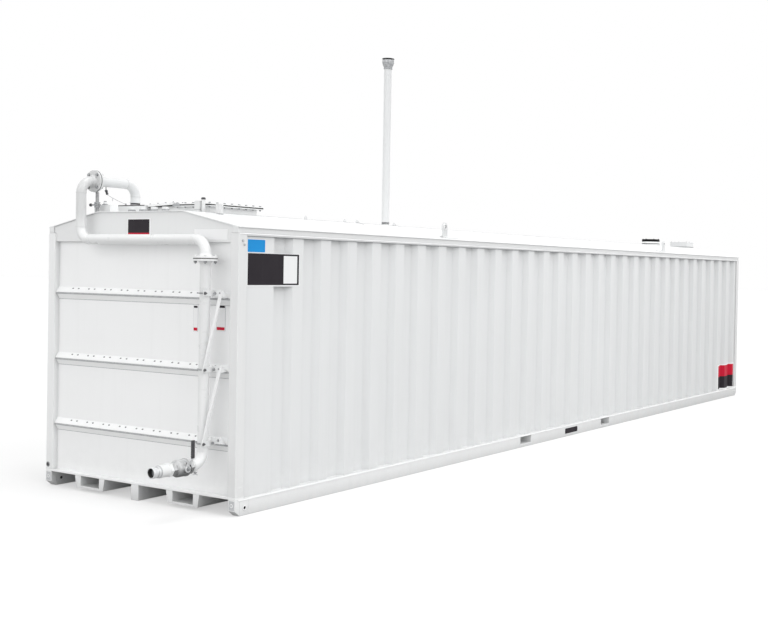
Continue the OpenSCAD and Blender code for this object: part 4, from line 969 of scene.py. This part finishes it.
for label, a, b, c, d in (("label_left", 0.648, 0.708, 1.532, 1.776), ("label_right", 0.923, 1.03, 1.548, 1.786)):
    PLATES += [
        (label + "_edge", "front", a, b, c, d, PANEL_Y, "mid", 0.0005, 0.003),
        (label + "_face", "front", a + 0.002, b - 0.006, c + 0.002, d - 0.002, PANEL_Y, "pale", 0.0008, 0.003),
        (label + "_bar", "front", a + 0.006, b - 0.01, d - 0.04, d - 0.022, PANEL_Y, "dark", 0.0011, 0.002),
        (label + "_foot", "front", a + 0.006, b - 0.01, c + 0.008, c + 0.034, PANEL_Y, "red", 0.0011, 0.002)]


def plate_face(name, plane, u0, u1, v0, v1, at, look, lift, round_r):
    """A thin coloured face with rounded corners."""
    outline = []
    r = min(round_r, (u1 - u0) / 3, (v1 - v0) / 3)
    for cx, cy, a0 in ((u1 - r, v1 - r, 0), (u0 + r, v1 - r, 90), (u0 + r, v0 + r, 180), (u1 - r, v0 + r, 270)):
        for a in (math.radians(a0 + 22.5 * k) for k in range(5)):
            outline.append((cx + r * math.cos(a), cy + r * math.sin(a)))
    rings(begin(name, look), [[(u, at - h, v) if plane == "front" else (at + h, u, v) for u, v in outline]
                              for h in (-0.0002, lift)])


def rivets(name, look, plane, us, vs, at, r):
    """Four round heads, r millimetres in radius, at the corners of a plate."""
    bm = begin(name, look)
    for u in us:
        for v in vs:
            m = turned((u, at, v), -Y) if plane == "front" else turned((at, u, v), X)
            lathe(bm, m, [(r, -0.2), (r * 0.95, r * 0.25), (r * 0.6, r * 0.5), (r * 0.15, r * 0.6)], 12)


def corner_field():
    """Plain coloured fields on the far corner of the right wall, laid on the corrugations."""
    for name, y0, y1, z0, z1, proud, look in (
            ("corner_field_edge", 5.19, 5.99, 0.146, 0.58, 0.0008, "pale"),
            ("corner_field_lower", 5.24, 5.965, 0.166, 0.37, 0.0014, "dark"),
            ("corner_field_upper", 5.24, 5.965, 0.37, 0.56, 0.0014, "red")):
        low = corr_path(WALL_X, z0, y0, y1, proud)
        sheet(begin(name, look, sharp=20), [[(x + dx, y, z + dz) for x, y, z in low] for dz, dx in (
            (0, -proud * 0.9), (0, 0), (z1 - z0, 0), (z1 - z0, -proud * 0.9))])


for plate in PLATES:
    plate_face(*plate)
rivets("strip_rivets", "pale", "front", (0.699, 1.069), (2.332, 2.403), BEAM_FACE, 3)
rivets("rail_plate_rivets", "zinc", "side", (-0.273, 0.051), (0.043, 0.097), HALF_W + 0.0016, 4)
corner_field()


# ---- coupling and its chain
def coupling():
    bm = bmesh.new()
    at = Vector((UPRIGHT_X, -5.926, 2.8135))
    lathe(bm, turned(at, -Z), [(3.5, -3), (3.5, 28), (7.5, 30)], 16)
    lathe(bm, turned(at + Z * -0.028, (0.35, 0.1, -1)),
          [(9, 0), (12.5, 3), (12.5, 20), (8.5, 23), (8.5, 27), (11.5, 29), (11.5, 44), (4, 47)], 24)
    fitting = piece("test_coupling", bm, "lever")
    end = Vector((-0.592, -5.737, 2.655))
    slab(begin("chain_lug", "zinc"), end - Vector((0.003, 0.008, 0.001)), end + Vector((0.003, 0.008, 0.016)), 0.001)
    start = end + Vector((0, -0.006, 0.01))
    finish = Vector((UPRIGHT_X + 0.016, -5.921, 2.7405))
    curve = bpy.data.curves.new("coupling_chain", "CURVE")
    curve.dimensions = "3D"
    curve.bevel_depth = 0.002
    curve.bevel_resolution = 3
    curve.use_fill_caps = True
    n, sag = 28, 0.005
    pts = [start.lerp(finish, k / n) - Z * sag * 4 * (k / n) * (1 - k / n) for k in range(n + 1)]
    spline = curve.splines.new("POLY")
    spline.points.add(n)
    for point, p in zip(spline.points, pts):
        point.co = (*p, 1)
    tag, hang = begin("chain_tag", "pale"), pts[20]
    slab(tag, hang - Vector((0.008, 0.001, 0.03)), hang + Vector((0.008, 0.001, -0.003)), 0.0008)
    sweep(tag, [hang + Z * 0.0025, hang - Z * 0.005], 0.0012, 8)
    curve.materials.append(M["zinc"])
    obj = put("coupling_chain", curve)
    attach(obj, "tank")


coupling()
show_pieces()


# ---- floor, light and world
def stage():
    mesh = bpy.data.meshes.new("floor")
    bm = bmesh.new()
    bm.faces.new([bm.verts.new(p) for p in circle(Matrix.Translation((0, 0, -0.0005)), 150, 64)])
    bm.to_mesh(mesh)
    bm.free()
    floor = put("floor", mesh)
    s = Shader("floor_white")
    seen = s.times(add(s.tree, "LightPath", "Is Camera Ray"), 0.5)
    mesh.materials.append(s.finish(Base_Color=(0.45, 0.45, 0.45, 1), Roughness=0.9, Specular_IOR_Level=0.0,
                                   Emission_Color=(1, 1, 1, 1), Emission_Strength=seen))


def light():
    world = bpy.data.worlds.new("world")
    bpy.context.scene.world = world
    world.use_nodes = True
    tree = world.node_tree
    # Full white behind the tank, in reflections and through it; softer as a light.
    seen = add(tree, "LightPath", "Is Camera Ray")
    for ray in ("Is Glossy Ray", "Is Transmission Ray"):
        seen = add(tree, "Math", 0, (0, seen), (1, add(tree, "LightPath", ray)), operation="MAXIMUM")
    back = tree.nodes["Background"]
    back.inputs["Color"].default_value = (1, 1, 1, 1)
    strength = add(tree, "MapRange", "Result", ("Value", seen), ("To Min", 0.55), ("To Max", 1.0))
    tree.links.new(strength, back.inputs["Strength"])
    low, mid = math.tan(math.radians(8)), math.tan(math.radians(32))
    for name, aim, level, spread in (("sky_lamp", (0.25, 0, 1), 0.33, 34), ("front_fill", (0, -1, low), 0.48, 80),
                                     ("right_fill", (1, 0, mid), 0.345, 50), ("left_fill", (-1, 0, low), 0.14, 80),
                                     ("rear_fill", (0, 1, low), 0.2, 80)):
        lamp = bpy.data.lights.new(name, "SUN")
        lamp.energy = level * math.pi
        lamp.angle = math.radians(spread)
        put(name, lamp).matrix_world = turned((0, 0, 0), Vector(aim).normalized())


stage()
light()
bpy.context.scene.view_settings.view_transform = "Standard"
